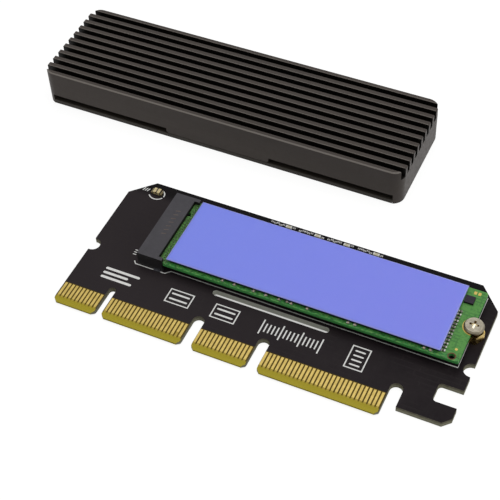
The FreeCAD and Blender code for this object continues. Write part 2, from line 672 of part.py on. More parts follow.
def makeDriveScrew():
    # pan-head screw; its own z = 0 is the underside of the head
    screw = newBody("drive_screw")
    profile = newSketch(screw, "screwProfile", role="XZ_Plane")
    outline(profile, [
        ("0", "-screwLong"), ("screwShank", "-screwLong"), ("screwShank", "0"), ("screwHeadRadius", "0"),
        ("screwHeadRadius", "screwHeadEdge"), ("screwHeadRadius - screwHeadRound", "screwHeadTall"),
        ("0", "screwHeadTall")])
    turned = screw.newObject("PartDesign::Revolution", "screwTurned")
    turned.Profile = profile
    turned.ReferenceAxis = (profile, ["V_Axis"])
    turned.Angle = 360
    doc.recompute()
    cross = newSketch(screw, "screwCross", lift="screwHeadTall - crossDeep")
    crossOutline(cross, "crossWide", "crossSpan")
    pocket(screw, cross, "screwCrossCut", "crossDeep + 1")
    setPlace(screw, "driveFar", "driveCentreY", "driveTop + driveContactThick")
    return screw


def crossOutline(sketch, wide, span):
    arm = span + " / 2"
    root = wide + " / 2"
    corners = []
    for x, y in ((1, 1), (-1, 1), (-1, -1), (1, -1)):
        turn = [(arm, root), (root, root), (root, arm)]
        if x * y < 0:
            turn.reverse()
        corners += [("%s%s" % ("-" if x < 0 else "", a), "%s%s" % ("-" if y < 0 else "", b)) for a, b in turn]
    outline(sketch, corners)


def makeStatusLed():
    x = value("ledX - ledLong / 2")
    y = value("ledY - ledWide / 2")
    z = value("boardThick")
    base = boxShape(x, y, z, value("ledLong"), value("ledWide"), value("ledBaseTall"))
    lens = boxShape(value("ledX - ledLensLong / 2"), y, z + value("ledBaseTall"), value("ledLensLong"),
                    value("ledWide"), value("ledLensTall"))
    return namedShape("status_led", base.fuse(lens).removeSplitter())


def makeRearCapacitors():
    parts = [chipCapacitor(value("rearCapX") + i * value("rearCapPitch"), value("rearCapY"),
                           value("boardThick"), value("rearCapLong"), value("rearCapWide"),
                           value("rearCapTall")) for i in range(count("rearCapCount"))]
    return namedShape("rear_capacitors", Part.makeCompound(parts))


# ---------------------------------------------------------------- case

def setAside(item):
    # the case is modelled where it closes round the board, and lies behind it
    setPlace(item, "caseAsideX", "caseAsideY")


def makeCaseShell():
    shell = newBody("case_shell")
    block = newSketch(shell, "shellOutline")
    rectangle(block, "caseLeft", "caseFront", "caseRight", "caseRear")
    pad(shell, block, "shellBlock", "caseTop")
    soften(shell, "Fillet", "shellCorners", pickEdges(shell.Shape, isUpright), "caseCorner")
    rim = pickEdges(shell.Shape, lambda edge: all(near(end.Z, "caseTop") for end in edge.Vertexes))
    soften(shell, "Chamfer", "shellRim", rim, "caseRimCut")

    cavity = newSketch(shell, "cavityOutline", lift="baseTop - 1")
    rectangle(cavity, "innerLeft", "innerFront", "innerRight", "innerRear")
    pocket(shell, cavity, "cavity", "caseCeiling - baseTop + 1")

    # seat of the base plate, open at the front between the corner posts
    seat = newSketch(shell, "baseSeat", lift="-1")
    baseOutline(seat, "caseFront - 1", "0")
    pocket(shell, seat, "baseSeatCut", "baseTop + 1")
    softenBase(shell, "baseSeatRounds", "0")

    # the board passes through the front wall on each side of the middle tab
    windows = newSketch(shell, "boardWindows", lift="baseTop")
    rectangle(windows, "innerLeft", "caseFront - 1", "tabStart", "innerFront")
    rectangle(windows, "tabEnd", "caseFront - 1", "innerRight", "innerFront")
    pocket(shell, windows, "windowCuts", "windowTop - baseTop")
    seam = newSketch(shell, "tabSeam", lift="baseTop")
    rectangle(seam, "tabStart - 1", "caseFront - 1", "tabEnd + 1", "innerFront")
    pocket(shell, seam, "tabSeamCut", "tabSeamTall")
    tabFeet = pickEdges(shell.Shape, lambda edge: runsAlongY(edge)
                        and near(edge.Vertexes[0].Z, "baseTop + tabSeamTall")
                        and any(near(edge.Vertexes[0].X, x) for x in ("tabStart", "tabEnd")))
    soften(shell, "Chamfer", "tabLeadIns", tabFeet, "tabLeadIn")

    # screw posts, webbed to the end walls and the rear ones to the rear wall too
    ends = (("leftScrewX", "innerLeft"), ("rightScrewX", "innerRight"))
    posts = newSketch(shell, "endWebs", lift="baseTop")
    for x, wall in ends:
        for y in ("endNotchY", "rearPostY"):
            roundSlot(posts, x, y, wall, y, "postRadius")
    pad(shell, posts, "endPosts", "caseCeiling - baseTop")
    webs = newSketch(shell, "rearWebs", lift="baseTop")
    for x, wall in ends:
        roundSlot(webs, x, "rearPostY", x, "innerRear - webInset", "postRadius")
    pad(shell, webs, "rearPosts", "caseCeiling - baseTop")
    bores = newSketch(shell, "postBores", lift="baseTop - 1")
    for x, wall in ends:
        for y in ("endNotchY", "rearPostY"):
            circle(bores, x, y, "postBore")
    pocket(shell, bores, "postBoreCuts", "postBoreDeep + 1")

    # cooling fins: one gap between two fins, repeated across the top
    gap = newSketch(shell, "finGap", lift="finFloor")
    rectangle(gap, "caseLeft - 1", "caseFront + finThick", "caseRight + 1", "caseFront + finPitch")
    firstGap = pocket(shell, gap, "firstFinGap", "finTall + 1")
    gaps = shell.newObject("PartDesign::LinearPattern", "finGaps")
    gaps.Originals = [firstGap]
    gaps.Direction = (gap, ["V_Axis"])
    gaps.setExpression("Length", full("finPitch * (finCount - 2)"))
    gaps.setExpression("Occurrences", full("finCount - 1"))
    shell.Tip = gaps
    doc.recompute()
    tops = pickEdges(shell.Shape, lambda edge: runsAlongX(edge) and near(edge.Vertexes[0].Z, "caseTop")
                     and not near(edge.Vertexes[0].Y, "caseFront + caseRimCut")
                     and not near(edge.Vertexes[0].Y, "caseRear - caseRimCut"))
    soften(shell, "Chamfer", "finEdges", tops, "finEdgeCut")
    setAside(shell)
    return shell


def baseOutline(sketch, front, gap):
    # plate flush with the front wall between its end posts, and wider behind it
    step = "baseStep + " + gap
    outline(sketch, [
        ("innerLeft + " + gap, front), ("innerRight - " + gap, front), ("innerRight - " + gap, step),
        ("caseRight - baseSkin - " + gap, step), ("caseRight - baseSkin - " + gap, "innerRear - " + gap),
        ("caseLeft + baseSkin + " + gap, "innerRear - " + gap), ("caseLeft + baseSkin + " + gap, step),
        ("innerLeft + " + gap, step)])


def softenBase(body, name, gap):
    sides = ("caseLeft + baseSkin + " + gap, "caseRight - baseSkin - " + gap)
    ends = ("baseStep + " + gap, "innerRear - " + gap)
    corners = pickEdges(body.Shape, lambda edge: isUpright(edge)
                        and any(near(edge.Vertexes[0].X, x) for x in sides)
                        and any(near(edge.Vertexes[0].Y, y) for y in ends))
    soften(body, "Fillet", name, corners, "baseRound - " + gap)


def makeCaseBase():
    base = newBody("case_base")
    shape = newSketch(base, "plateOutline", lift="baseRecess")
    baseOutline(shape, "caseFront", "baseGap")
    pad(base, shape, "plate", "baseThick")
    softenBase(base, "plateRounds", "baseGap")
    holes = newSketch(base, "plateHoles", lift="baseRecess - 1")
    for x in ("leftScrewX", "rightScrewX"):
        for y in ("endNotchY", "rearPostY"):
            circle(holes, x, y, "baseScrewShank + baseHoleGap")
    pocket(base, holes, "plateHoleCuts", "baseThick + 2")
    rims = pickEdges(base.Shape, lambda edge: len(edge.Vertexes) == 1
                     and near(edge.Vertexes[0].Z, "baseRecess"))
    soften(base, "Chamfer", "countersinks", rims, "baseScrewHead - baseScrewShank - baseHoleGap")
    setAside(base)
    return base


def makeCaseScrews():
    # four countersunk screws, heads down and flush with the plate's underside
    shank = value("baseScrewShank")
    head = value("baseScrewHead")
    low = value("baseRecess")
    high = low + value("baseScrewLong")
    rim = [FreeCAD.Vector(x, 0, z) for x, z in (
        (0, low), (head, low), (shank, low + head - shank), (shank, high), (0, high))]
    half = Part.Face(Part.makePolygon(rim + rim[:1]))
    turned = half.revolve(FreeCAD.Vector(), FreeCAD.Vector(0, 0, 1), 360)
    wide = value("baseCrossWide")
    span = value("baseCrossSpan")
    deep = value("baseCrossDeep")
    for long, across in ((span, wide), (wide, span)):
        turned = turned.cut(boxShape(-long / 2, -across / 2, low - 1, long, across, deep + 1))
    screws = []
    for x in ("leftScrewX", "rightScrewX"):
        for y in ("endNotchY", "rearPostY"):
            screws.append(turned.translated(FreeCAD.Vector(value(x), value(y), 0)))
    item = namedShape("case_screws", Part.makeCompound(screws))
    setAside(item)
    return item


# ---------------------------------------------------------------- build, check and write

subParts = [
    makeBoard(),
    makeEdgeContacts("edge_contacts_upper", value("boardThick - contactThick"), (1, count("firstCount") - 2)),
    makeEdgeContacts("edge_contacts_lower", 0, (0, 0)),
    makeDriveBoard(),
    makeDriveContacts("drive_contacts_upper", value("driveTop"), True),
    makeDriveContacts("drive_contacts_lower", value("driveFoot - driveContactThick"), False),
    *makeChips(),
    makeDriveCapacitors(),
    makeDriveTestPads(),
    makeThermalPad(),
    makeSocketHousing(),
    *makeSocketContacts(),
    makeHoldDowns(),
    makeStandoff(),
    makeDriveScrew(),
    makeStatusLed(),
    makeRearCapacitors(),
    makeCaseShell(),
    makeCaseBase(),
    makeCaseScrews(),
]
doc.recompute()

for item in doc.Objects:
    faults = [state for state in item.State if state in ("Invalid", "Error")]
    if faults:
        raise ValueError("%s is %s" % (item.Label, ", ".join(faults)))
for item in subParts:
    if item.Shape.isNull() or not item.Shape.isValid() or not item.Shape.Solids:
        raise ValueError(item.Label + " has no valid shape")
for item in subParts:
    item.Shape.exportStep("parts/%s.step" % item.Label)
    box = item.Shape.BoundBox
    print("%-22s %3d solids %9.2f mm3  x %.2f..%.2f  y %.2f..%.2f  z %.2f..%.2f" % (
        item.Label, len(item.Shape.Solids), item.Shape.Volume, box.XMin, box.XMax, box.YMin, box.YMax,
        box.ZMin, box.ZMax))
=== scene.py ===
import math

import bmesh
import bpy
from mathutils import Matrix, Vector


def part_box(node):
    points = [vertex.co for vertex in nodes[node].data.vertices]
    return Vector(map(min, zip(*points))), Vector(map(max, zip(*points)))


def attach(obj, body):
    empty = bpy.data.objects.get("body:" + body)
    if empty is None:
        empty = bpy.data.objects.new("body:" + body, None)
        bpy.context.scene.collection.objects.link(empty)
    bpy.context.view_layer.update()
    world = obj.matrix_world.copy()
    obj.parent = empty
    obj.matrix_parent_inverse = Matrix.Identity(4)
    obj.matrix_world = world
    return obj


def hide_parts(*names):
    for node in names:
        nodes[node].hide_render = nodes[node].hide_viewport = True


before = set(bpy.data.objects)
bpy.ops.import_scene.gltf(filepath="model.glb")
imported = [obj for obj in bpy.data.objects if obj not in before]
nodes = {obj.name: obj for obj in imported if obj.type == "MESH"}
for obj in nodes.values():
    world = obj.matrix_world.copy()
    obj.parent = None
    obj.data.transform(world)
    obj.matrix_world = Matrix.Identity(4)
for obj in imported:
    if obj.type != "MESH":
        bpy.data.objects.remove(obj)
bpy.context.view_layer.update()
mm = 0.001
print("frame loaded,", len(nodes), "nodes")


def paint(red, green, blue):
    # screen colour to the linear one that shaders take
    def straight(value):
        value = value / 255
        return value / 12.92 if value <= 0.04045 else ((value + 0.055) / 1.055) ** 2.4

    return (straight(red), straight(green), straight(blue), 1.0)


def inMetres(values):
    return tuple(value * mm for value in values)


def boxMm(name):
    low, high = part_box(name)
    return low / mm, high / mm


def fill(socket, value):
    # a socket takes a link or a plain value, and knows its own tree
    if isinstance(value, bpy.types.NodeSocket):
        socket.id_data.links.new(value, socket)
    else:
        socket.default_value = value


def addNode(tree, kind, settings=None, inputs=None):
    made = tree.nodes.new(kind)
    for key, value in (settings or {}).items():
        setattr(made, key, value)
    for key, value in (inputs or {}).items():
        fill(made.inputs[key], value)
    return made


def startFinish(name, roughness, metallic=0.0, specular=0.5):
    finish = bpy.data.materials.new(name)
    finish.use_nodes = True
    tree = finish.node_tree
    shader = tree.nodes["Principled BSDF"]
    shader.inputs["Roughness"].default_value = roughness
    shader.inputs["Metallic"].default_value = metallic
    shader.inputs["Specular IOR Level"].default_value = specular
    return finish, tree, shader


def link(value, shader, socket):
    fill(shader.inputs[socket], value)


def objectPlace(tree):
    return addNode(tree, "ShaderNodeTexCoord").outputs["Object"]


def axes(tree):
    split = addNode(tree, "ShaderNodeSeparateXYZ", None, {"Vector": objectPlace(tree)})
    return split.outputs["X"], split.outputs["Y"], split.outputs["Z"]


def facing(tree):
    # the object's own normal, split into axes
    normal = addNode(tree, "ShaderNodeTexCoord").outputs["Normal"]
    split = addNode(tree, "ShaderNodeSeparateXYZ", None, {"Vector": normal})
    return split.outputs["X"], split.outputs["Y"], split.outputs["Z"]


def grain(tree, sizeMm, detail=3.0, stretch=(1, 1, 1)):
    place = objectPlace(tree)
    if stretch != (1, 1, 1):
        mapped = addNode(tree, "ShaderNodeMapping", None, {"Vector": place, "Scale": stretch})
        place = mapped.outputs["Vector"]
    made = addNode(tree, "ShaderNodeTexNoise", None,
                   {"Vector": place, "Scale": 1 / (sizeMm * mm), "Detail": detail, "Roughness": 0.55})
    return made.outputs["Fac"]


def sums(operation, *values):
    tree = next(value.id_data for value in values if isinstance(value, bpy.types.NodeSocket))
    made = addNode(tree, "ShaderNodeMath", {"operation": operation})
    for socket, value in zip(made.inputs, values):
        fill(socket, value)
    return made.outputs["Value"]


def times(first, *others):
    for other in others:
        first = sums("MULTIPLY", first, other)
    return first


def inverse(share):
    return sums("SUBTRACT", 1.0, share)


def rangeOf(value, low, high, fromLow=0.3, fromHigh=0.7, kind="LINEAR"):
    made = addNode(value.id_data, "ShaderNodeMapRange", {"interpolation_type": kind},
                   {"Value": value, "From Min": fromLow, "From Max": fromHigh,
                    "To Min": low, "To Max": high})
    return made.outputs["Result"]


def above(value, edge, soft):
    # nothing under the edge, one over it, with a soft step
    return rangeOf(value, 0.0, 1.0, edge - soft, edge + soft, "SMOOTHSTEP")


def below(value, edge, soft):
    return rangeOf(value, 1.0, 0.0, edge - soft, edge + soft, "SMOOTHSTEP")


def between(value, low, high, soft):
    return times(above(value, low, soft), below(value, high, soft))


def vector(tree, **parts):
    return addNode(tree, "ShaderNodeCombineXYZ", None, parts).outputs[0]


def lengthOf(value):
    made = addNode(value.id_data, "ShaderNodeVectorMath", {"operation": "LENGTH"}, {0: value})
    return made.outputs["Value"]


def inRectangle(tree, low, high, soft):
    # one over a flat rectangle of the object; low, high and the soft edges are in mm
    spans = [between(value, first * mm, last * mm, edge * mm)
             for value, first, last, edge in zip(axes(tree), low, high, soft)]
    return times(*spans)


def blend(share, first, second):
    # each colour is a socket or a screen colour
    made = addNode(share.id_data, "ShaderNodeMix", {"data_type": "RGBA"}, {0: share})
    for index, colour in ((6, first), (7, second)):
        fill(made.inputs[index], paint(*colour) if isinstance(colour, tuple) else colour)
    return made.outputs[2]


def mottle(tree, sizeMm, first, second, most=1.0):
    # the second colour lies over the first in soft patches
    return blend(rangeOf(grain(tree, sizeMm), 0.0, most), first, second)


def roughen(shader, sizeMm, low, high):
    link(rangeOf(grain(shader.id_data, sizeMm), low, high), shader, "Roughness")


def roughenBy(shader, sizeMm, middle, less, more):
    roughen(shader, sizeMm, middle - less, middle + more)


def relief(shader, height, depthMm, strength):
    made = addNode(shader.id_data, "ShaderNodeBump", None,
                   {"Height": height, "Strength": strength, "Distance": depthMm * mm})
    link(made.outputs["Normal"], shader, "Normal")


def offContact(x):
    # how far a point lies from the middle of its edge contact, at one contact a millimetre
    return sums("ABSOLUTE", sums("SUBTRACT", sums("FRACT", times(x, 1 / mm)), 0.5))


boardLook = {"lacquer": (42, 37, 39), "lacquerShadedRight": (26, 21, 24), "rightShadeSpan": (10, 88),
             "track": (46, 41, 42), "roughness": 0.42, "specular": 0.05,
             "rearShade": (4, 3, 4), "rearFrom": 40.5, "rearSoft": 1.5, "rearShare": 0.85,
             "laminate": (138, 136, 116), "laminateDark": (98, 96, 78), "laminateLight": (166, 164, 146),
             "dragged": (86, 81, 70), "draggedFrom": 1.0,
             "plated": (184, 185, 176), "slotLow": (22.5, 16.2), "slotHigh": (53.8, 18.2),
             "slotSoft": (0.1, 0.05),
             "bare": (94, 77, 20), "bareDark": (76, 61, 18), "bareTop": 6.1, "bareMargin": 0.2,
             "gilt": (180, 156, 72), "giltFade": (1.15, 1.75), "giltEnd": 3.0,
             "bevel": (214, 205, 86), "bevelDark": (168, 153, 46), "bevelTop": 2.2, "bevelMiddle": 0.75,
             "tip": (148, 136, 46), "tipEnd": 0.06}


def boardFinish(look):
    finish, tree, shader = startFinish("blackLacquer", look["roughness"], 0.0, look["specular"])
    x, y, z = axes(tree)
    level = sums("ABSOLUTE", facing(tree)[2])
    flat = above(level, 0.93, 0.03)
    # the lacquer is painted darker towards the right: painted shade
    rightShade = rangeOf(x, 0.0, 1.0, *inMetres(look["rightShadeSpan"]))
    lacquer = blend(rightShade, look["lacquer"], look["lacquerShadedRight"])
    # copper tracks show faintly under the lacquer
    bricks = addNode(tree, "ShaderNodeTexBrick",
                     {"offset": 0.37, "offset_frequency": 3, "squash": 1.6, "squash_frequency": 2},
                     {"Vector": objectPlace(tree), "Scale": 150.0, "Mortar Size": 0.035,
                      "Mortar Smooth": 0.3, "Brick Width": 0.9, "Row Height": 0.22})
    tracks = times(bricks.outputs["Fac"], above(grain(tree, 9.0), 0.52, 0.06))
    lacquer = blend(times(tracks, 0.25), lacquer, look["track"])
    lacquer = mottle(tree, 6.0, lacquer, look["track"], 0.35)
    # the board's rear strip is painted near black: painted shade
    rear = times(above(y, look["rearFrom"] * mm, look["rearSoft"] * mm), look["rearShare"])
    lacquer = blend(rear, lacquer, look["rearShade"])
    # no lacquer round the edge contacts
    low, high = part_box("edge_contacts_upper")
    margin = look["bareMargin"] * mm
    bareZone = times(below(y, look["bareTop"] * mm, 0.03 * mm),
                     between(x, low.x - margin, high.x + margin, 0.03 * mm))
    bare = mottle(tree, 2.0, look["bare"], look["bareDark"])
    # the gilding runs out over the start of the bevel, one stripe under each contact
    stripes = times(below(offContact(x), 0.3, 0.06), below(y, look["giltEnd"] * mm, 0.05 * mm))
    fadeLow, fadeHigh = inMetres(look["giltFade"])
    runOut = above(y, (fadeLow + fadeHigh) / 2, (fadeHigh - fadeLow) / 2)
    gilded = blend(runOut, look["bevelDark"], blend(stripes, bare, look["gilt"]))
    top = blend(bareZone, lacquer, gilded)
    # cut sides show the laminate's layers
    layers = addNode(tree, "ShaderNodeTexWave", {"bands_direction": "Z"},
                     {"Vector": objectPlace(tree), "Scale": 1600.0, "Distortion": 3.0, "Detail": 2.0})
    side = blend(times(layers.outputs["Fac"], 0.8), look["laminate"], look["laminateDark"])
    side = mottle(tree, 1.2, side, look["laminateLight"], 0.35)
    # the router drags lacquer over the upper part of the cut
    dragged = times(above(z, look["draggedFrom"] * mm, 0.2 * mm), rangeOf(grain(tree, 0.9), 0.5, 0.95))
    side = blend(dragged, side, look["dragged"])
    # the long slot is plated
    inSlot = inRectangle(tree, look["slotLow"], look["slotHigh"], look["slotSoft"])
    side = blend(inSlot, side, look["plated"])
    # the bevel under the contacts
    tilted = times(between(level, 0.15, 0.96, 0.02), below(y, look["bevelTop"] * mm, 0.1 * mm))
    ground = times(below(y, look["bevelMiddle"] * mm, 0.35 * mm),
                   rangeOf(grain(tree, 0.8, 3.0, (1, 1, 0.3)), 1.0, 0.6))
    bevelled = blend(ground, look["bevelDark"], look["bevel"])
    side = blend(tilted, side, blend(runOut, bevelled, gilded))
    tip = times(below(y, look["tipEnd"] * mm, 0.02 * mm), above(inverse(level), 0.5, 0.1))
    side = blend(tip, side, look["tip"])
    link(blend(flat, side, top), shader, "Base Color")
    weave = rangeOf(grain(tree, 0.5, 2.0, (1, 0.25, 1)), 0.85, 1.1)
    rough = times(flat, rangeOf(grain(tree, 0.7), 0.38, 0.5), weave)
    rough = sums("ADD", rough, times(inverse(flat), 0.8))
    link(rough, shader, "Roughness")
    relief(shader, sums("ADD", tracks, times(grain(tree, 0.25), 0.5)), 0.018, 0.6)
    return finish


contactLook = {"gilt": (206, 180, 98), "worn": (178, 152, 72), "edge": (98, 80, 24), "edgeBelow": 8.0,
               "low": (170, 154, 58), "lowBelow": 2.2, "roughness": 0.42, "metallic": 0.35, "specular": 0.4}


def contactFinish(look):
    finish, tree, shader = startFinish("giltContacts", look["roughness"], look["metallic"], look["specular"])
    x, y = axes(tree)[:2]
    streaks = rangeOf(grain(tree, 0.25, 3.0, (1, 0.12, 1)), 0.0, 1.0)
    patches = rangeOf(grain(tree, 1.6), 0.0, 1.0, 0.35, 0.65)
    share = sums("MULTIPLY_ADD", streaks, 0.35, times(patches, 0.5))
    gold = blend(share, look["gilt"], look["worn"])
    # only the card's own contacts darken at their edges and low ends, not the drive's gilt
    atEdge = times(above(offContact(x), 0.29, 0.05), below(y, look["edgeBelow"] * mm, mm))
    gold = blend(times(atEdge, 0.8), gold, look["edge"])
    lowEnd = times(below(y, look["lowBelow"] * mm, 0.4 * mm), 0.35)
    link(blend(lowEnd, gold, look["low"]), shader, "Base Color")
    roughenBy(shader, 0.6, look["roughness"], 0.06, 0.1)
    relief(shader, grain(tree, 0.2, 2.0, (1, 0.1, 1)), 0.01, 0.5)
    return finish


driveLook = {"lacquer": (82, 142, 66), "dark": (52, 108, 52), "light": (96, 150, 78),
             "side": (66, 146, 76), "sideCore": (76, 150, 78), "core": (0.28, 0.52),
             "rim": (40, 126, 62), "rimPale": (128, 172, 96), "rimEnd": 19.35,
             "crowd": (52, 62, 34), "crowdEnd": 9.7, "shade": (22, 24, 16), "shadeEnd": 7.55,
             "padShade": (26, 50, 28), "padInset": (0.2, 0.8)}


def driveBoardFinish(look):
    finish, tree, shader = startFinish("greenLacquer", 0.36, 0.0, 0.16)
    x, y, z = axes(tree)
    flat = above(sums("ABSOLUTE", facing(tree)[2]), 0.9, 0.05)
    cells = addNode(tree, "ShaderNodeTexBrick", {"offset": 0.43, "squash": 1.4, "squash_frequency": 3},
                    {"Vector": objectPlace(tree), "Scale": 320.0, "Mortar Size": 0.07, "Mortar Smooth": 0.2,
                     "Brick Width": 0.8, "Row Height": 0.3})
    gaps = times(cells.outputs["Fac"], above(grain(tree, 2.6), 0.5, 0.04))
    copper = blend(times(gaps, 0.8), look["lacquer"], look["dark"])
    copper = mottle(tree, 1.4, copper, look["light"], 0.45)
    flecks = above(grain(tree, 0.42, 2.0), 0.6, 0.03)
    copper = blend(times(flecks, 0.5), copper, look["dark"])
    # pads and stray flecks along the front rim
    rim = below(y, look["rimEnd"] * mm, 0.1 * mm)
    pale = times(rim, above(grain(tree, 0.55, 1.0, (0.7, 1.5, 1.0)), 0.56, 0.03))
    deep = times(rim, above(grain(tree, 0.8, 1.0, (0.8, 1.3, 1.0)), 0.57, 0.03))
    for share, part, colour in ((rim, 0.6, "rim"), (pale, 0.45, "rimPale"), (deep, 0.55, "padShade")):
        copper = blend(times(share, part), copper, look[colour])
    # crowded tracks and fills next to the socket
    crowded = times(below(x, look["crowdEnd"] * mm, 0.1 * mm),
                    above(grain(tree, 0.5, 2.0, (1.0, 1.6, 1.0)), 0.46, 0.05))
    copper = blend(times(crowded, 0.75), copper, look["crowd"])
    # shade under the pad and in the socket's mouth
    padLow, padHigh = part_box("thermal_pad")
    insetX, insetY = inMetres(look["padInset"])
    under = times(above(y, padLow.y + insetY, 0.1 * mm),
                  between(x, padLow.x + insetX, padHigh.x - insetX, 0.1 * mm))
    copper = blend(times(under, 0.9), copper, look["padShade"])
    copper = blend(below(x, look["shadeEnd"] * mm, 0.06 * mm), copper, look["shade"])
    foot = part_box("drive_board")[0].z
    coreLow, coreHigh = inMetres(look["core"])
    core = between(z, foot + coreLow, foot + coreHigh, 0.04 * mm)
    side = blend(times(core, 0.45), look["side"], look["sideCore"])
    link(blend(flat, side, copper), shader, "Base Color")
    roughen(shader, 0.5, 0.26, 0.42)
    relief(shader, sums("ADD", gaps, times(grain(tree, 0.2), 0.3)), 0.02, 0.6)
    return finish


def mouldedFinish(name, look):
    # matt moulded plastic: two tones, a fine sparked skin, and painted shade on the upright sides
    finish, tree, shader = startFinish(name, look["roughness"], 0.0, look["specular"])
    colour = mottle(tree, look["patch"], look["light"], look["dark"])
    colour = blend(rangeOf(grain(tree, look["skin"], 2.0), 0.0, 0.5), colour, look["dark"])
    # the upright sides are painted darker: painted shade
    upright = above(inverse(sums("ABSOLUTE", facing(tree)[2])), 0.5, 0.1)
    link(blend(upright, colour, look["side"]), shader, "Base Color")
    roughenBy(shader, look["skin"] * 2, look["roughness"], 0.07, 0.07)
    relief(shader, grain(tree, look["skin"], 2.0), look["depth"], 0.7)
    return finish


chipLook = {"light": (44, 34, 50), "dark": (28, 24, 34), "side": (20, 18, 20), "roughness": 0.55,
            "patch": 0.9, "skin": 0.09, "depth": 0.012, "specular": 0.2}
socketLook = {"light": (60, 58, 63), "dark": (48, 46, 51), "side": (28, 26, 28), "roughness": 0.5,
              "patch": 3.0, "skin": 0.12, "depth": 0.015, "specular": 0.3}
padLook = {"face": (129, 140, 238), "cool": (127, 141, 240), "warm": (133, 138, 239),
           "edge": (156, 161, 236), "side": (70, 76, 122), "roughness": 0.62,
           "scatter": (0.6, 0.7, 1.0), "scatterMm": 0.6}


def padFinish(look):
    finish, tree, shader = startFinish("siliconePad", look["roughness"], 0.0, 0.3)
    x = axes(tree)[0]
    nz = facing(tree)[2]
    low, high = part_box("thermal_pad")
    face = blend(rangeOf(x, 0.0, 1.0, low.x, high.x), look["cool"], look["warm"])
    face = mottle(tree, 5.0, face, look["face"], 0.5)
    # the rounded rim of the pad is painted lighter: a painted highlight
    roundedHighlight = below(nz, 0.86, 0.12)
    face = blend(times(roundedHighlight, 0.9), face, look["edge"])
    # the pad's sides are painted dark: painted shade
    padSideShade = below(nz, 0.42, 0.2)
    link(blend(padSideShade, face, look["side"]), shader, "Base Color")
    shader.inputs["Subsurface Weight"].default_value = 0.12
    shader.inputs["Subsurface Radius"].default_value = look["scatter"]
    shader.inputs["Subsurface Scale"].default_value = look["scatterMm"] * mm
    # print of the liner film that the pad was cast on
    film = addNode(tree, "ShaderNodeTexWave", {"bands_direction": "DIAGONAL"},
                   {"Vector": objectPlace(tree), "Scale": 700.0, "Distortion": 1.5, "Detail": 1.0})
    roughen(shader, 0.8, 0.55, 0.7)
    relief(shader, sums("MULTIPLY_ADD", film.outputs["Fac"], 0.15, grain(tree, 0.35)), 0.02, 0.5)
    return finish


def metalFinish(name, look):
    finish, tree, shader = startFinish(name, look["roughness"], 1.0)
    link(mottle(tree, look["patch"], look["light"], look["dark"]), shader, "Base Color")
    roughenBy(shader, look["patch"] * 0.5, look["roughness"], 0.08, 0.1)
    stretch = (1, 1, look.get("stretch", 1))
    relief(shader, grain(tree, look["skin"], 2.0, stretch), look["depth"], 0.6)
    return finish


springLook = {"light": (214, 180, 104), "dark": (176, 140, 76), "roughness": 0.3, "patch": 0.5, "skin": 0.08,
              "depth": 0.006}
tinnedLook = {"light": (116, 116, 120), "dark": (78, 78, 84), "roughness": 0.36, "patch": 0.5, "skin": 0.1,
              "depth": 0.012}
brassLook = {"light": (206, 180, 104), "dark": (150, 122, 66), "roughness": 0.26, "patch": 0.9, "skin": 0.1,
             "depth": 0.008, "stretch": 8}
blackScrewLook = {"light": (58, 56, 55), "dark": (30, 29, 29), "roughness": 0.38, "patch": 0.6, "skin": 0.1,
                  "depth": 0.01}
solderLook = {"light": (206, 206, 204), "dark": (132, 133, 138), "roughness": 0.28, "patch": 0.35,
              "skin": 0.12, "depth": 0.02}
screwLook = {"light": (146, 140, 126), "dark": (112, 106, 94), "side": (104, 94, 72), "roughness": 0.36,
             "rim": (176, 170, 154), "rimFrom": 2.05, "rimTo": 2.32,
             "crossShade": (132, 110, 66), "crossReach": 1.35, "glint": (236, 228, 204), "glintReach": 0.72,
             "patch": 0.7, "skin": 0.09, "depth": 0.008, "rings": 26.0}


def screwFinish(look):
    # nickel, with painted shade and a painted glint in the cross, a turned rim, and painted shade on the
    # side
    finish, tree, shader = startFinish("nickelScrew", look["roughness"], 1.0)
    x, y, z = axes(tree)
    low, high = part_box("drive_screw")
    middle = (low + high) / 2
    radius = lengthOf(vector(tree, X=sums("SUBTRACT", x, middle.x), Y=sums("SUBTRACT", y, middle.y)))
    tone = mottle(tree, look["patch"], look["light"], look["dark"])
    rim = between(radius, look["rimFrom"] * mm, look["rimTo"] * mm, 0.06 * mm)
    tone = blend(times(rim, 0.4), tone, look["rim"])
    # the head's side is painted darker: painted shade
    upright = above(inverse(facing(tree)[2]), 0.4, 0.2)
    tone = blend(times(upright, 0.8), tone, look["side"])
    # painted shade in the cross recess, with a painted glint near its middle
    inCross = times(below(radius, look["crossReach"] * mm, 0.1 * mm),
                    above(sums("SUBTRACT", high.z, z), 0.08 * mm, 0.04 * mm))
    tone = blend(inCross, tone, look["crossShade"])
    glint = times(inCross, below(radius, look["glintReach"] * mm, 0.15 * mm))
    link(blend(glint, tone, look["glint"]), shader, "Base Color")
    roughenBy(shader, 0.4, look["roughness"], 0.08, 0.1)
    turned = sums("SINE", times(radius, look["rings"] / mm))
    relief(shader, sums("ADD", turned, grain(tree, look["skin"], 2.0)), look["depth"], 0.5)
    return finish


ledLook = {"lens": (222, 206, 160), "shade": (176, 156, 100), "ends": (112, 98, 62), "gap": (30, 22, 14),
           "endFrom": 1.0, "gapHalf": 0.16, "gapRise": 0.3}


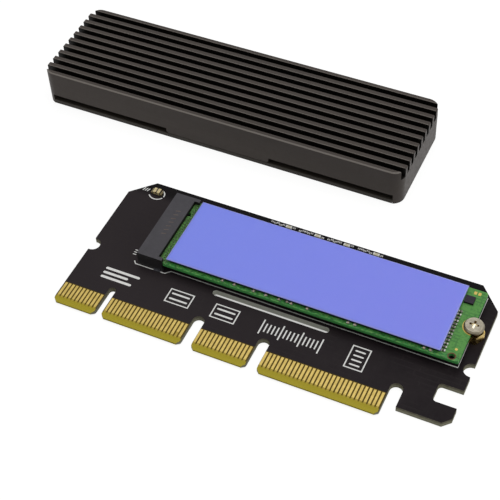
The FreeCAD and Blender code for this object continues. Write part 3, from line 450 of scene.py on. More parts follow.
def ledFinish(look):
    # cream lens parted in the middle, dull ends, a thin dark line before each
    finish, tree, shader = startFinish("lensPlastic", 0.35, 0.0, 0.5)
    x, z = axes(tree)[::2]
    low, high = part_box("status_led")
    off = sums("ABSOLUTE", sums("SUBTRACT", x, (low.x + high.x) / 2))
    line = between(off, (look["endFrom"] - 0.08) * mm, (look["endFrom"] + 0.06) * mm, 0.03 * mm)
    parting = times(below(off, look["gapHalf"] * mm, 0.04 * mm),
                    above(z, low.z + look["gapRise"] * mm, 0.1 * mm))
    colour = mottle(tree, 0.5, look["lens"], look["shade"])
    colour = blend(above(off, look["endFrom"] * mm, 0.03 * mm), colour, look["ends"])
    colour = blend(sums("MAXIMUM", line, parting), colour, look["gap"])
    link(colour, shader, "Base Color")
    shader.inputs["Subsurface Weight"].default_value = 0.1
    shader.inputs["Subsurface Scale"].default_value = 0.4 * mm
    roughen(shader, 0.3, 0.25, 0.45)
    relief(shader, grain(tree, 0.12), 0.01, 0.5)
    return finish


capacitorLook = {"body": (196, 188, 164), "shade": (168, 160, 134), "dark": (52, 42, 34),
                 "dull": (112, 116, 104), "ends": (206, 206, 200), "rowPitch": 7.85, "rowEnd": 0.34,
                 "driveEnd": 0.26, "driveFrom": 3.0}


def capacitorFinish(look):
    # a ceramic body with tinned ends, told apart by where along the row the point lies
    finish, tree, shader = startFinish("capacitorBody", 0.4, 0.0, 0.5)
    x, z = axes(tree)[::2]
    low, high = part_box("rear_capacitors")
    pitch, end = look["rowPitch"] * mm, look["rowEnd"] * mm
    inRow = sums("FLOORED_MODULO", sums("SUBTRACT", x, low.x), pitch)
    rearBody = between(inRow, end, high.x - low.x - 3 * pitch - end, 0.03 * mm)
    low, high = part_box("drive_capacitors")
    end = look["driveEnd"] * mm
    driveBody = between(x, low.x + end, high.x - end, 0.03 * mm)
    onDrive = above(z, look["driveFrom"] * mm, 0.1 * mm)
    ends = sums("ADD", times(inverse(rearBody), inverse(onDrive)), times(inverse(driveBody), onDrive))
    body = mottle(tree, 0.4, look["body"], look["shade"])
    body = blend(onDrive, body, look["dark"])
    # the tinning is dull on some of the drive's parts and bright on others
    dull = times(onDrive, above(grain(tree, 1.1, 1.0), 0.47, 0.05))
    tin = blend(dull, look["ends"], look["dull"])
    link(blend(ends, body, tin), shader, "Base Color")
    roughen(shader, 0.3, 0.3, 0.5)
    relief(shader, grain(tree, 0.1), 0.01, 0.5)
    return finish


caseLook = {"anodised": (69, 62, 58), "shade": (59, 53, 49), "rim": (120, 114, 108), "worn": (98, 90, 82),
            "gap": (9, 7, 5), "roughness": 0.46, "specular": 0.15, "finPitch": 2.855, "finThick": 1.25,
            "wearHighlightWide": 0.1, "wearHighlightDeep": 0.12, "rimDeep": 0.45, "gapFrom": 0.2, "gapInset": 1.0}
baseLook = dict(caseLook, anodised=(56, 51, 45), shade=(48, 44, 39))


def finShades(tree, look, tone):
    # what the fins add: top edges painted lighter, part wear and part painted highlight, a painted highlight
    # on the rim at the front, and painted shade in the gaps
    y, z = axes(tree)[1:]
    nx, ny, nz = facing(tree)
    low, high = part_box("case_shell")
    along = sums("FLOORED_MODULO", sums("SUBTRACT", y, low.y), look["finPitch"] * mm)
    wide = look["wearHighlightWide"]
    # the fins' top edges are painted lighter, part wear and part painted highlight
    edges = [between(along, (edge - wide) * mm, (edge + wide) * mm, 0.05 * mm)
             for edge in (0.0, look["finThick"])]
    wearAndHighlight = times(sums("MAXIMUM", *edges), above(z, high.z - look["wearHighlightDeep"] * mm, 0.05 * mm),
                 rangeOf(grain(tree, 3.0, 4.0, (0.3, 1, 1)), 0.25, 0.8))
    tone = blend(wearAndHighlight, tone, look["worn"])
    # the broken edge round the top catches the light
    rim = times(between(nz, 0.35, 0.93, 0.04), above(z, high.z - look["rimDeep"] * mm, 0.03 * mm),
                above(times(ny, -1.0), 0.3, 0.05))
    tone = blend(rim, tone, look["rim"])
    # painted shade down between the fins, where little light reaches
    inset = look["gapInset"] * mm
    inGap = times(below(sums("ABSOLUTE", nx), 0.5, 0.05),
                  between(y, low.y + inset, high.y - inset, 0.05 * mm),
                  above(sums("SUBTRACT", high.z, z), look["gapFrom"] * mm, 0.12 * mm))
    return blend(inGap, tone, look["gap"])


def caseFinish(name, look, fins):
    finish, tree, shader = startFinish(name, look["roughness"], 0.0, look["specular"])
    clouds = rangeOf(grain(tree, 14.0, 4.0, (0.3, 1, 1)), 0.0, 1.0)
    tone = blend(clouds, look["anodised"], look["shade"])
    # lines left along the length by extrusion
    lines = rangeOf(grain(tree, 0.5, 3.0, (0.02, 1, 1)), 0.0, 0.4)
    tone = blend(lines, tone, look["shade"])
    if fins:
        tone = finShades(tree, look, tone)
    link(tone, shader, "Base Color")
    roughenBy(shader, 0.9, look["roughness"], 0.06, 0.08)
    drawn = times(grain(tree, 0.4, 2.0, (0.02, 1, 1)), 0.6)
    relief(shader, sums("ADD", grain(tree, 0.16, 2.0), drawn), 0.014, 0.6)
    return finish


inkLook = {"white": (232, 232, 229), "thin": (206, 206, 203)}


def inkFinish(look):
    # printed ink, a little thin in places
    finish, tree, shader = startFinish("whiteInk", 0.6, 0.0, 0.3)
    link(mottle(tree, 0.5, look["white"], look["thin"], 0.7), shader, "Base Color")
    relief(shader, grain(tree, 0.15), 0.008, 0.5)
    return finish


finishes = {
    "black_lacquer": boardFinish(boardLook),
    "gilt_contacts": contactFinish(contactLook),
    "green_lacquer": driveBoardFinish(driveLook),
    "chip_moulding": mouldedFinish("chipMoulding", chipLook),
    "silicone_pad": padFinish(padLook),
    "socket_moulding": mouldedFinish("socketMoulding", socketLook),
    "spring_metal": metalFinish("springMetal", springLook),
    "tinned_metal": metalFinish("tinnedMetal", tinnedLook),
    "standoff_brass": metalFinish("standoffBrass", brassLook),
    "screw_steel": screwFinish(screwLook),
    "lens_plastic": ledFinish(ledLook),
    "capacitor_body": capacitorFinish(capacitorLook),
    "case_aluminium": caseFinish("caseAluminium", caseLook, True),
    "base_aluminium": caseFinish("baseAluminium", baseLook, False),
    "black_screw_steel": metalFinish("blackScrewSteel", blackScrewLook),
}
whiteInk = inkFinish(inkLook)
solder = metalFinish("solder", solderLook)
partTin = metalFinish("partTin", dict(solderLook, light=(184, 183, 180), dark=(124, 124, 126)))


def variantOf(name, light, dark, side, base=chipLook):
    return mouldedFinish(name, dict(base, light=light, dark=dark, side=side))


darkCeramic = variantOf("darkCeramic", (120, 114, 106), (70, 66, 62), (60, 56, 52))
paleCeramic = variantOf("paleCeramic", (222, 210, 188), (176, 160, 130), (160, 146, 118))
bareCopper = variantOf("bareCopper", (122, 78, 52), (82, 52, 36), (70, 44, 32))
viaFill = variantOf("viaFill", (44, 62, 34), (26, 40, 22), (20, 30, 16))
roofTint = variantOf("roofTint", (100, 92, 82), (66, 52, 50), socketLook["side"], socketLook)

for node in nodes.values():
    slot = node.data.materials[0].name
    node.data.materials.clear()
    node.data.materials.append(finishes[slot])
print("finishes given to every node")


def addObject(name, data):
    made = bpy.data.objects.new(name, data)
    bpy.context.scene.collection.objects.link(made)
    return made


def keepPiece(piece, finish=None):
    if finish is not None:
        piece.data.materials.clear()
        piece.data.materials.append(finish)
    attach(piece, "root")
    return piece


def pieceFrom(name, build):
    mesh = bmesh.new()
    build(mesh)
    bmesh.ops.recalc_face_normals(mesh, faces=mesh.faces)
    data = bpy.data.meshes.new(name)
    mesh.to_mesh(data)
    mesh.free()
    return addObject(name, data)


boardHigh = boxMm("adapter_board")[1]
driveHigh = boxMm("drive_board")[1]
inkTop = boardHigh.z + 0.018
inkFoot = boardHigh.z - 0.01


def prism(mesh, points, bottom, top):
    # a closed plate over a flat outline, in mm
    lower, upper = [[mesh.verts.new(inMetres((x, y, level))) for x, y in points] for level in (bottom, top)]
    mesh.faces.new(lower[::-1])
    mesh.faces.new(upper)
    count = len(points)
    for i in range(count):
        j = (i + 1) % count
        mesh.faces.new((lower[i], lower[j], upper[j], upper[i]))


def stripe(mesh, start, end, width, bottom=inkFoot, top=inkTop):
    # a short line with round ends, at the ink's own levels unless others are given
    along = Vector((end[0] - start[0], end[1] - start[1]))
    turn = math.atan2(along.y, along.x)
    points = []
    for centre, first in ((end, -math.pi / 2), (start, math.pi / 2)):
        for step in range(5):
            angle = turn + first + step * math.pi / 4
            points.append((centre[0] + math.cos(angle) * width / 2, centre[1] + math.sin(angle) * width / 2))
    prism(mesh, points, bottom, top)


def ribbon(mesh, path, width, closed=False):
    # one inked line along a path, mitred at its corners, in mm
    count = len(path)
    loops = []
    for i in range(count):
        here = Vector(path[i])
        before = Vector(path[i - 1]) if closed or i > 0 else None
        after = Vector(path[(i + 1) % count]) if closed or i < count - 1 else None
        first = (here - before).normalized() if before else (after - here).normalized()
        second = (after - here).normalized() if after else first
        along = (first + second).normalized()
        side = Vector((-along.y, along.x))
        side *= width / 2 / max(side.dot(Vector((-first.y, first.x))), 0.4)
        corners = ((here + side, inkFoot), (here - side, inkFoot),
                   (here - side, inkTop), (here + side, inkTop))
        loops.append([mesh.verts.new(inMetres((spot.x, spot.y, level))) for spot, level in corners])
    pairs = list(zip(loops, loops[1:]))
    if closed:
        pairs.append((loops[-1], loops[0]))
    else:
        mesh.faces.new(loops[0])
        mesh.faces.new(loops[-1][::-1])
    for here, there in pairs:
        for k in range(4):
            mesh.faces.new((here[k], here[(k + 1) % 4], there[(k + 1) % 4], there[k]))


def inkBox(mesh, low, high, width):
    corners = [(low[0], low[1]), (high[0], low[1]), (high[0], high[1]), (low[0], high[1])]
    ribbon(mesh, corners, width, True)


inkLayout = {"lineWidth": 0.26, "thin": 0.14, "front": 19.0, "right": 84.55, "left": 1.2, "rear": 41.2,
             "socketFront": 17.85, "socketEnd": 9.4, "jog": 1.1, "returnX": 0.7, "returnY": 0.8}


def inkLines(mesh):
    # the line round the drive, which jogs round the front of the socket
    layout = inkLayout
    front, near, left, right = layout["front"], layout["socketFront"], layout["left"], layout["right"]
    path = [(left - layout["returnX"], near + layout["returnY"]), (left, near), (layout["socketEnd"], near),
            (layout["socketEnd"] + layout["jog"], front), (right, front)]
    ribbon(mesh, path, layout["lineWidth"])
    corner = (right, front + layout["lineWidth"] / 2 + 0.02)
    ribbon(mesh, [corner, (right, layout["rear"])], layout["thin"])


ledMarks = {"lineWidth": 0.3, "bow": 2.1, "bowShift": (0.15, -0.55), "bowFrom": -150, "bowTo": -25,
            "flat": 0.86, "cornerFrom": -10, "cornerTo": 62, "cornerShare": 0.98, "ticks": 3,
            "tickStep": 0.62, "tickAway": 1.25, "tickDrop": 0.5, "tickLean": 0.35, "tickLong": 0.9}


def bow(mesh, centre, radius, first, last, look):
    # an arc, a little flatter than round
    steps = 9
    angles = [math.radians(first + (last - first) * i / steps) for i in range(steps + 1)]
    points = [(centre[0] + radius * math.cos(a), centre[1] + radius * look["flat"] * math.sin(a))
              for a in angles]
    ribbon(mesh, points, look["lineWidth"])


def ledBrackets(mesh):
    marks = ledMarks
    low, high = boxMm("status_led")
    middle = (low + high) / 2
    centre = (middle.x + marks["bowShift"][0], middle.y + marks["bowShift"][1])
    bow(mesh, centre, marks["bow"], marks["bowFrom"], marks["bowTo"], marks)
    bow(mesh, centre, marks["bow"] * marks["cornerShare"], marks["cornerFrom"], marks["cornerTo"], marks)
    for i in range(marks["ticks"]):
        x, y = low.x - marks["tickAway"] - i * marks["tickStep"], middle.y - marks["tickDrop"]
        stripe(mesh, (x, y), (x + marks["tickLean"], y + marks["tickLong"]), marks["lineWidth"] * 0.8)


plainMarks = {"line": 0.3, "tickX": -0.85, "ticks": (20.5, 21.2, 21.9), "tickLong": 0.7,
              "rows": [(-4.6, 4.2, 13.9), (-4.6, 1.6, 12.5), (-4.6, 3.2, 11.1)], "rowWidth": 0.7,
              "frames": [((13.2, 10.2), (19.4, 14.2)), ((25.4, 10.2), (31.6, 14.2))], "bars": (0.3, 0.7),
              "inner": 0.9, "column": ((60.3, 9.2), (64.7, 15.6)), "columnBars": 4, "columnFirst": 1.1,
              "columnStep": 1.35, "columnHalf": 1.1}


def plainInk(mesh):
    # plain bars and boxes, with no meaning
    marks = plainMarks
    line = marks["line"]
    for left, right, height in marks["rows"]:
        stripe(mesh, (left, height), (right, height), marks["rowWidth"])
    for low, high in marks["frames"]:
        inkBox(mesh, low, high, line)
        for share in marks["bars"]:
            level = low[1] + (high[1] - low[1]) * share
            stripe(mesh, (low[0] + marks["inner"], level), (high[0] - marks["inner"], level), line * 1.6)
    for y in marks["ticks"]:
        stripe(mesh, (marks["tickX"], y), (marks["tickX"] + marks["tickLong"], y), line * 0.8)
    low, high = marks["column"]
    inkBox(mesh, low, high, line)
    middle, half = (low[0] + high[0]) / 2, marks["columnHalf"]
    for i in range(marks["columnBars"]):
        level = low[1] + marks["columnFirst"] + i * marks["columnStep"]
        stripe(mesh, (middle - half, level), (middle + half, level), line * 1.4)


for name, build in (("inkLines", inkLines), ("ledBrackets", ledBrackets), ("plainInk", plainInk)):
    keepPiece(pieceFrom(name, build), whiteInk)
print("ink laid on the board")


def startTree(name, inputs):
    tree = bpy.data.node_groups.new(name, "GeometryNodeTree")
    tree.is_modifier = True
    tree.interface.new_socket(name="Geometry", in_out="INPUT", socket_type="NodeSocketGeometry")
    kinds = {int: "NodeSocketInt", float: "NodeSocketFloat", tuple: "NodeSocketVector"}
    for label, value in inputs.items():
        socket = tree.interface.new_socket(name=label, in_out="INPUT", socket_type=kinds[type(value)])
        socket.default_value = value
    tree.interface.new_socket(name="Geometry", in_out="OUTPUT", socket_type="NodeSocketGeometry")
    return tree, tree.nodes.new("NodeGroupInput").outputs, tree.nodes.new("NodeGroupOutput")


def dress(tree, geometry, finish):
    inputs = {"Geometry": geometry, "Material": finish}
    return addNode(tree, "GeometryNodeSetMaterial", None, inputs).outputs[0]


def joinAll(tree, *parts):
    joined = addNode(tree, "GeometryNodeJoinGeometry")
    for part in parts:
        tree.links.new(part, joined.inputs[0])
    return joined.outputs[0]


def cube(tree, size):
    return addNode(tree, "GeometryNodeMeshCube", None, {"Size": size}).outputs["Mesh"]


def onPoints(tree, points, shape, extra=None):
    inputs = {"Points": points, "Instance": shape, **(extra or {})}
    return addNode(tree, "GeometryNodeInstanceOnPoints", None, inputs).outputs["Instances"]


def endTree(tree, geometry, finish, end):
    real = addNode(tree, "GeometryNodeRealizeInstances", None, {"Geometry": geometry}).outputs[0]
    tree.links.new(dress(tree, real, finish), end.inputs["Geometry"])


def growPiece(name, points, tree, values):
    # points in mm; the tree puts one shape on each
    seed = bpy.data.meshes.new(name + "Seed")
    seed.from_pydata([inMetres(point) for point in points], [], [])
    holder = addObject(name + "Holder", seed)
    modifier = holder.modifiers.new("grow", "NODES")
    modifier.node_group = tree
    for item in tree.interface.items_tree:
        if item.in_out == "INPUT" and item.name in values:
            modifier[item.identifier] = values[item.name]
    graph = bpy.context.evaluated_depsgraph_get()
    mesh = bpy.data.meshes.new_from_object(holder.evaluated_get(graph))
    bpy.data.objects.remove(holder)
    mesh.name = name
    return keepPiece(addObject(name, mesh))


def tickTree(finish):
    # upright bars on points, every fifth one longer
    tree, start, end = startTree("tickScale", {"Width": 0.0003, "Length": 0.002, "Longer": 1.6,
                                               "Thickness": 0.00003})
    index = addNode(tree, "GeometryNodeInputIndex").outputs["Index"]
    isFifth = sums("LESS_THAN", sums("FLOORED_MODULO", index, 5.0), 0.5)
    more = sums("SUBTRACT", start["Longer"], 1.0)
    scale = vector(tree, X=1.0, Y=sums("MULTIPLY_ADD", isFifth, more, 1.0), Z=1.0)
    bar = cube(tree, vector(tree, X=start["Width"], Y=start["Length"], Z=start["Thickness"]))
    endTree(tree, onPoints(tree, start["Geometry"], bar, {"Scale": scale}), finish, end)
    return tree


def blobTree(name, finish, seed):
    # soft solder mounds of slightly different size
    tree, start, end = startTree(name, {"Size": (0.0004, 0.0004, 0.0002), "Spread": 0.15, "Seed": seed})
    ball = addNode(tree, "GeometryNodeMeshIcoSphere", None, {"Radius": 0.5, "Subdivisions": 2})
    chance = addNode(tree, "FunctionNodeRandomValue", {"data_type": "FLOAT"},
                     {2: inverse(start["Spread"]), 3: 1.0, "Seed": start["Seed"]})
    scaled = addNode(tree, "ShaderNodeVectorMath", {"operation": "SCALE"},
                     {0: start["Size"], "Scale": chance.outputs[1]})
    placed = onPoints(tree, start["Geometry"], ball.outputs["Mesh"], {"Scale": scaled.outputs[0]})
    smooth = addNode(tree, "GeometryNodeSetShadeSmooth", None, {"Geometry": placed})
    endTree(tree, smooth.outputs[0], finish, end)
    return tree


def chipTree(name, finish, tin, seed):
    # small chip parts: a ceramic block between two tinned ends, each turned a little
    tree, start, end = startTree(name, {"Body": (0.0006, 0.0005, 0.0003), "End": (0.0002, 0.00054, 0.00034),
                                        "Spread": 0.1, "Seed": seed})
    parts = [dress(tree, cube(tree, start["Body"]), finish)]
    long = addNode(tree, "ShaderNodeSeparateXYZ", None, {"Vector": start["Body"]}).outputs["X"]
    for side in (-0.5, 0.5):
        place = vector(tree, X=times(long, side))
        moved = addNode(tree, "GeometryNodeTransform", None,
                        {"Geometry": cube(tree, start["End"]), "Translation": place})
        parts.append(dress(tree, moved.outputs["Geometry"], tin))
    chance = addNode(tree, "FunctionNodeRandomValue", {"data_type": "FLOAT"},
                     {3: start["Spread"], "Seed": start["Seed"]})
    turned = vector(tree, Z=chance.outputs[1])
    placed = onPoints(tree, start["Geometry"], joinAll(tree, *parts), {"Rotation": turned})
    real = addNode(tree, "GeometryNodeRealizeInstances", None, {"Geometry": placed})
    tree.links.new(real.outputs["Geometry"], end.inputs["Geometry"])
    return tree


def dotTree(name, finish):
    # thin filled dots lying on a face
    tree, start, end = startTree(name, {"Radius": 0.0002, "Thickness": 0.00002})
    outer = addNode(tree, "GeometryNodeMeshCircle", {"fill_type": "NGON"},
                    {"Vertices": 14, "Radius": start["Radius"]}).outputs["Mesh"]
    raised = addNode(tree, "GeometryNodeExtrudeMesh", {"mode": "FACES"},
                     {"Mesh": outer, "Offset Scale": start["Thickness"]}).outputs["Mesh"]
    flipped = addNode(tree, "GeometryNodeFlipFaces", None, {"Mesh": outer}).outputs["Mesh"]
    merged = addNode(tree, "GeometryNodeMergeByDistance", None,
                     {"Geometry": joinAll(tree, flipped, raised), "Distance": 0.000001}).outputs["Geometry"]
    endTree(tree, onPoints(tree, start["Geometry"], merged), finish, end)
    return tree


scaleLook = {"left": 38.2, "count": 16, "step": 1.0, "centre": 12.2, "width": 0.34,
             "length": 2.6, "longer": 1.7}
scalePoints = [(scaleLook["left"] + i * scaleLook["step"], scaleLook["centre"], (inkFoot + inkTop) / 2)
               for i in range(scaleLook["count"])]
growPiece("tickScale", scalePoints, tickTree(whiteInk),
          {"Width": scaleLook["width"] * mm, "Length": scaleLook["length"] * mm,
           "Longer": scaleLook["longer"], "Thickness": (inkTop - inkFoot) * mm})


def islandBoxes(name):
    # the box of each separate solid in a node, in mm
    mesh = bmesh.new()
    mesh.from_mesh(nodes[name].data)
    bmesh.ops.remove_doubles(mesh, verts=mesh.verts, dist=1e-7)
    boxes, seen = [], set()
    for vert in mesh.verts:
        if vert in seen:
            continue
        group = [vert]
        seen.add(vert)
        for here in group:
            for edge in here.link_edges:
                other = edge.other_vert(here)
                if other not in seen:
                    seen.add(other)
                    group.append(other)
        spots = list(zip(*[here.co for here in group]))
        boxes.append([Vector([ends(values) for values in spots]) / mm for ends in (min, max)])
    mesh.free()
    return sorted(boxes, key=lambda pair: (round(pair[0].y, 3), round(pair[0].x, 3)))


def growSolder(name, points, look, seed):
    growPiece(name, points, blobTree(name, solder, seed),
              {"Size": inMetres(look["size"]), "Spread": look["spread"]})


# solder lies a little into the board, at the outer end of each tail and lug
tailSolder = {"size": (0.75, 0.34, 0.3), "inset": 0.3, "rise": 0.02, "spread": 0.12}
tailPoints = []
for name in ("socket_contacts_upper", "socket_contacts_lower"):
    for low, high in islandBoxes(name):
        end = low.x + tailSolder["inset"] if name.endswith("upper") else high.x - tailSolder["inset"]
        tailPoints.append((end, (low.y + high.y) / 2, boardHigh.z + tailSolder["rise"]))
growSolder("tailSolder", tailPoints, tailSolder, 3)

lugSolder = {"size": (1.1, 0.34, 0.14), "inset": 0.15, "rise": 0.02, "spread": 0.05, "frontBefore": 20}
lugPoints = []
for low, high in islandBoxes("socket_hold_downs"):
    outer = low.y + lugSolder["inset"] if low.y < lugSolder["frontBefore"] else high.y - lugSolder["inset"]
    lugPoints.append(((low.x + high.x) / 2, outer, boardHigh.z + lugSolder["rise"]))
growSolder("lugSolder", lugPoints, lugSolder, 5)


def growChips(name, places, ground, look, finish, tin, seed):
    level = ground + look["end"][2] / 2 - look["sunk"]
    growPiece(name, [(x, y, level) for x, y in places], chipTree(name, finish, tin, seed),
              {"Body": inMetres(look["body"]), "End": inMetres(look["end"]), "Spread": look["spread"]})


rearParts = {"back": 0.75, "steps": (0.0, 0.8, 1.55, 2.25, 3.1), "shifts": (0.35, 0.12, 0.45, 0.2, 0.4),
             "drift": 0.14, "after": 0.55, "body": (0.42, 0.5, 0.32), "end": (0.2, 0.54, 0.36), "sunk": 0.01,
             "spread": 0.05}


def rearPlaces(look):
    # unevenly placed, and each group a little unlike the one before
    places = []
    shifts = look["shifts"]
    for group, (low, high) in enumerate(islandBoxes("rear_capacitors")):
        middle = (low.y + high.y) / 2
        for i, step in enumerate(look["steps"]):
            x = low.x - look["back"] - step - look["drift"] * (group % 3)
            places.append((x, middle + shifts[(i + 2 * group) % len(shifts)]))
        places.append((high.x + look["after"], middle + shifts[group]))
    return places


growChips("rearParts", rearPlaces(rearParts), boardHigh.z, rearParts, darkCeramic, partTin, 7)

edgeParts = {"places": [(24.9, 18.85), (28.1, 18.8), (33.2, 18.8), (36.4, 18.8), (39.8, 18.85), (41.9, 18.9),
                        (43.0, 18.8), (47.1, 18.85), (57.5, 18.8), (59.2, 18.8), (76.2, 18.8), (77.8, 18.8)],
             "body": (0.62, 0.52, 0.34), "end": (0.24, 0.56, 0.38), "sunk": 0.01, "spread": 0.08}
growChips("edgeParts", edgeParts["places"], driveHigh.z, edgeParts, paleCeramic, solder, 11)

toolingRing = {"centre": (82.75, 19.2), "inner": 0.76, "outer": 1.02, "sunk": 0.01, "rise": 0.012,
               "steps": 28}


def ringAtHole(mesh):
    # a flat washer of copper round the tooling hole
    ring = toolingRing
    bottom, top = driveHigh.z - ring["sunk"], driveHigh.z + ring["rise"]
    angles = [2 * math.pi * i / ring["steps"] for i in range(ring["steps"])]
    loops = []
    for radius, level in ((ring["inner"], bottom), (ring["outer"], bottom), (ring["outer"], top),
                          (ring["inner"], top)):
        loops.append([mesh.verts.new(inMetres((ring["centre"][0] + radius * math.cos(a),
                                               ring["centre"][1] + radius * math.sin(a), level)))
                      for a in angles])
    for here, there in zip(loops, loops[1:] + loops[:1]):
        for i in range(ring["steps"]):
            j = (i + 1) % ring["steps"]
            mesh.faces.new((here[i], here[j], there[j], there[i]))


keepPiece(pieceFrom("toolingRing", ringAtHole), bareCopper)

roofMarks = {"x": 4.6, "first": 26.2, "step": 1.35, "count": 7, "long": 1.0, "lean": 0.3, "width": 0.26,
             "sunk": 0.03, "rise": 0.006}


def socketMarks(mesh):
    # faint moulded dashes on the roof
    marks = roofMarks
    roof = boxMm("socket_housing")[1].z
    for i in range(marks["count"]):
        y = marks["first"] + i * marks["step"]
        stripe(mesh, (marks["x"], y), (marks["x"] + marks["long"], y + marks["lean"]), marks["width"],
               roof - marks["sunk"], roof + marks["rise"])


keepPiece(pieceFrom("socketMarks", socketMarks), roofTint)

driveVias = {"columns": (8.35, 9.0), "first": 19.2, "step": 0.78, "count": 26, "stagger": 0.2,
             "radius": 0.19, "sunk": 0.004, "thick": 0.012}
viaPoints = [(x + driveVias["stagger"] * (i % 2), driveVias["first"] + i * driveVias["step"],
              driveHigh.z - driveVias["sunk"])
             for x in driveVias["columns"] for i in range(driveVias["count"])]
growPiece("driveVias", viaPoints, dotTree("driveVias", viaFill),
          {"Radius": driveVias["radius"] * mm, "Thickness": driveVias["thick"] * mm})
print("solder and small parts grown")

padShape = {"columns": 141, "rows": 43, "round": 0.24, "underRound": 0.6, "frontInset": 0.45,
            "sag": 0.05, "sagReach": 2.5, "wave": 0.03}


def siliconePad(mesh):
    # a soft sheet pressed on the chips: it sags between them and rounds off at its rim
    low, high = boxMm("thermal_pad")
    look = padShape
    low.y += look["frontInset"]
    last, side = look["columns"] - 1, look["rows"] - 1
    names = ("drive_controller", "drive_cache_chip", "drive_flash_near", "drive_flash_far")
    chips = [boxMm(name) for name in names]

    def unheld(x, y):
        # how far a point is from the nearest chip, up to one
        away = [math.hypot(max(chipLow.x - x, 0, x - chipHigh.x), max(chipLow.y - y, 0, y - chipHigh.y))
                for chipLow, chipHigh in chips]
        return min(min(away) / look["sagReach"], 1.0)

    def spot(i, j, upper):
        x = low.x + (high.x - low.x) * (i / last)
        y = low.y + (high.y - low.y) * (j / side)
        rim = min(x - low.x, high.x - x, y - low.y, high.y - y)
        drop = look["round"] * (1 - min(rim / look["round"], 1.0)) ** 2
        if not upper:
            return inMetres((x, y, low.z + drop * look["underRound"]))
        sag = look["sag"] * unheld(x, y) ** 2
        wave = look["wave"] * (math.sin(x * 0.21 + 1.3) * math.cos(y * 0.33 + x * 0.05) - 1) * 0.5
        return inMetres((x, y, high.z - drop - sag + wave))

    sheets = []
    for upper, turn in ((False, -1), (True, 1)):
        rows = [[mesh.verts.new(spot(i, j, upper)) for j in range(side + 1)] for i in range(last + 1)]
        for i in range(last):
            for j in range(side):
                mesh.faces.new((rows[i][j], rows[i + 1][j], rows[i + 1][j + 1], rows[i][j + 1])[::turn])
        sheets.append(rows)
    lowRows, highRows = sheets
    rimPath = [(i, 0) for i in range(last)] + [(last, j) for j in range(side)]
    rimPath += [(i, side) for i in range(last, 0, -1)] + [(0, j) for j in range(side, 0, -1)]
    for (a, b), (c, d) in zip(rimPath, rimPath[1:] + rimPath[:1]):
        mesh.faces.new((lowRows[a][b], lowRows[c][d], highRows[c][d], highRows[a][b]))


pad = pieceFrom("siliconePad", siliconePad)
for face in pad.data.polygons:
    face.use_smooth = True
keepPiece(pad, finishes["silicone_pad"])
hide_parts("thermal_pad")
print("pad laid")

studio = {"floorColour": (232, 232, 230), "floorHalf": 3.0, "floorDrop": 0.02, "glow": 1.16, "sky": 0.37,
          "shadowShare": 0.24, "shadowReach": 0.3, "shadowFade": 0.12, "slotShade": 0.7, "slotMargin": 0.2,
          "slotSoft": (0.1, 0.1), "aim": (0.02, 0.04, 0.0),
          "lamps": {"overhead": ((0.05, 0.15, 0.75), (0.7, 0.7), 3.1),
                    "rightSide": ((0.7, 0.05, 0.32), (0.5, 0.4), 0.85)}}
view = {"target": (24.9, 34.2, 0.0), "azimuth": 27.35, "elevation": 48.87, "distance": 326.3, "roll": -3.37,
        "lens": 93.6}


def emptyTree(owner):
    owner.use_nodes = True
    owner.node_tree.nodes.clear()
    return owner.node_tree


def seenRays(tree):
    path = addNode(tree, "ShaderNodeLightPath")
    most = sums("MAXIMUM", path.outputs["Is Camera Ray"], path.outputs["Is Glossy Ray"])
    return sums("MAXIMUM", most, path.outputs["Is Transmission Ray"])


def mixShaders(tree, share, first, second, outputKind):
    both = addNode(tree, "ShaderNodeMixShader", None, {0: share, 1: first.outputs[0], 2: second.outputs[0]})
    addNode(tree, outputKind, None, {"Surface": both.outputs[0]})


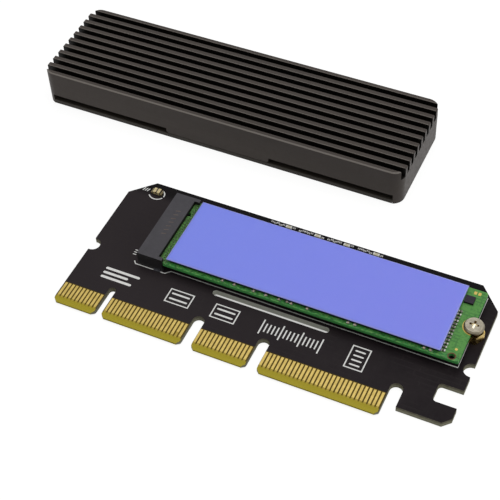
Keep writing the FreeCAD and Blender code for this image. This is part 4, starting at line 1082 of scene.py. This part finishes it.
def makeFloor(look):
    half, level = look["floorHalf"], -look["floorDrop"] * mm
    corners = [(x * half, y * half, level) for x, y in ((-1, -1), (1, -1), (1, 1), (-1, 1))]
    mesh = bpy.data.meshes.new("floor")
    mesh.from_pydata(corners, [], [(0, 1, 2, 3)])
    floor = addObject("floor", mesh)
    finish = bpy.data.materials.new("paleFloor")
    tree = emptyTree(finish)
    diffuse = addNode(tree, "ShaderNodeBsdfDiffuse", None, {"Color": paint(*look["floorColour"])})
    glow = addNode(tree, "ShaderNodeEmission", None, {"Color": (1, 1, 1, 1), "Strength": look["glow"]})
    # shadow shows near the part only, so the floor's far edge stays white
    away = lengthOf(objectPlace(tree))
    near = below(away, look["shadowReach"], look["shadowFade"])
    # seen through the board's long slot, the floor lies in the board's own shade
    margin = look["slotMargin"]
    inSlot = inRectangle(tree, [edge - margin for edge in boardLook["slotLow"]],
                         [edge + margin for edge in boardLook["slotHigh"]], look["slotSoft"])
    shadow = sums("MAXIMUM", times(near, look["shadowShare"]), times(inSlot, look["slotShade"]))
    share = times(seenRays(tree), inverse(shadow))
    mixShaders(tree, share, diffuse, glow, "ShaderNodeOutputMaterial")
    mesh.materials.append(finish)


def makeWorld(look):
    world = bpy.data.worlds.new("studioSky")
    bpy.context.scene.world = world
    tree = emptyTree(world)
    dim, white = [addNode(tree, "ShaderNodeBackground", None, {"Color": (1, 1, 1, 1), "Strength": strength})
                  for strength in (look["sky"], 1.0)]
    mixShaders(tree, seenRays(tree), dim, white, "ShaderNodeOutputWorld")


def softBox(name, place, size, power):
    lamp = bpy.data.lights.new(name, "AREA")
    lamp.shape = "RECTANGLE"
    lamp.size, lamp.size_y = size
    lamp.energy = power
    holder = addObject(name, lamp)
    holder.location = place
    holder.rotation_euler = (Vector(studio["aim"]) - Vector(place)).to_track_quat("-Z", "Y").to_euler()


def makeCamera(look):
    azimuth, elevation = math.radians(look["azimuth"]), math.radians(look["elevation"])
    away = Vector((math.sin(azimuth) * math.cos(elevation), -math.cos(azimuth) * math.cos(elevation),
                   math.sin(elevation)))
    lens = bpy.data.cameras.new("camera")
    lens.lens = look["lens"]
    lens.sensor_width = 36.0
    lens.clip_start = 0.01
    camera = addObject("camera", lens)
    turn = (-away).to_track_quat("-Z", "Y").to_matrix().to_4x4()
    roll = Matrix.Rotation(math.radians(look["roll"]), 4, "Z")
    place = Vector(look["target"]) * mm + away * look["distance"] * mm
    camera.matrix_world = Matrix.Translation(place) @ turn @ roll
    bpy.context.scene.camera = camera


makeFloor(studio)
makeWorld(studio)
for name, (place, size, power) in studio["lamps"].items():
    softBox(name, place, size, power)
makeCamera(view)
bpy.context.scene.view_settings.view_transform = "Standard"
print("studio ready")
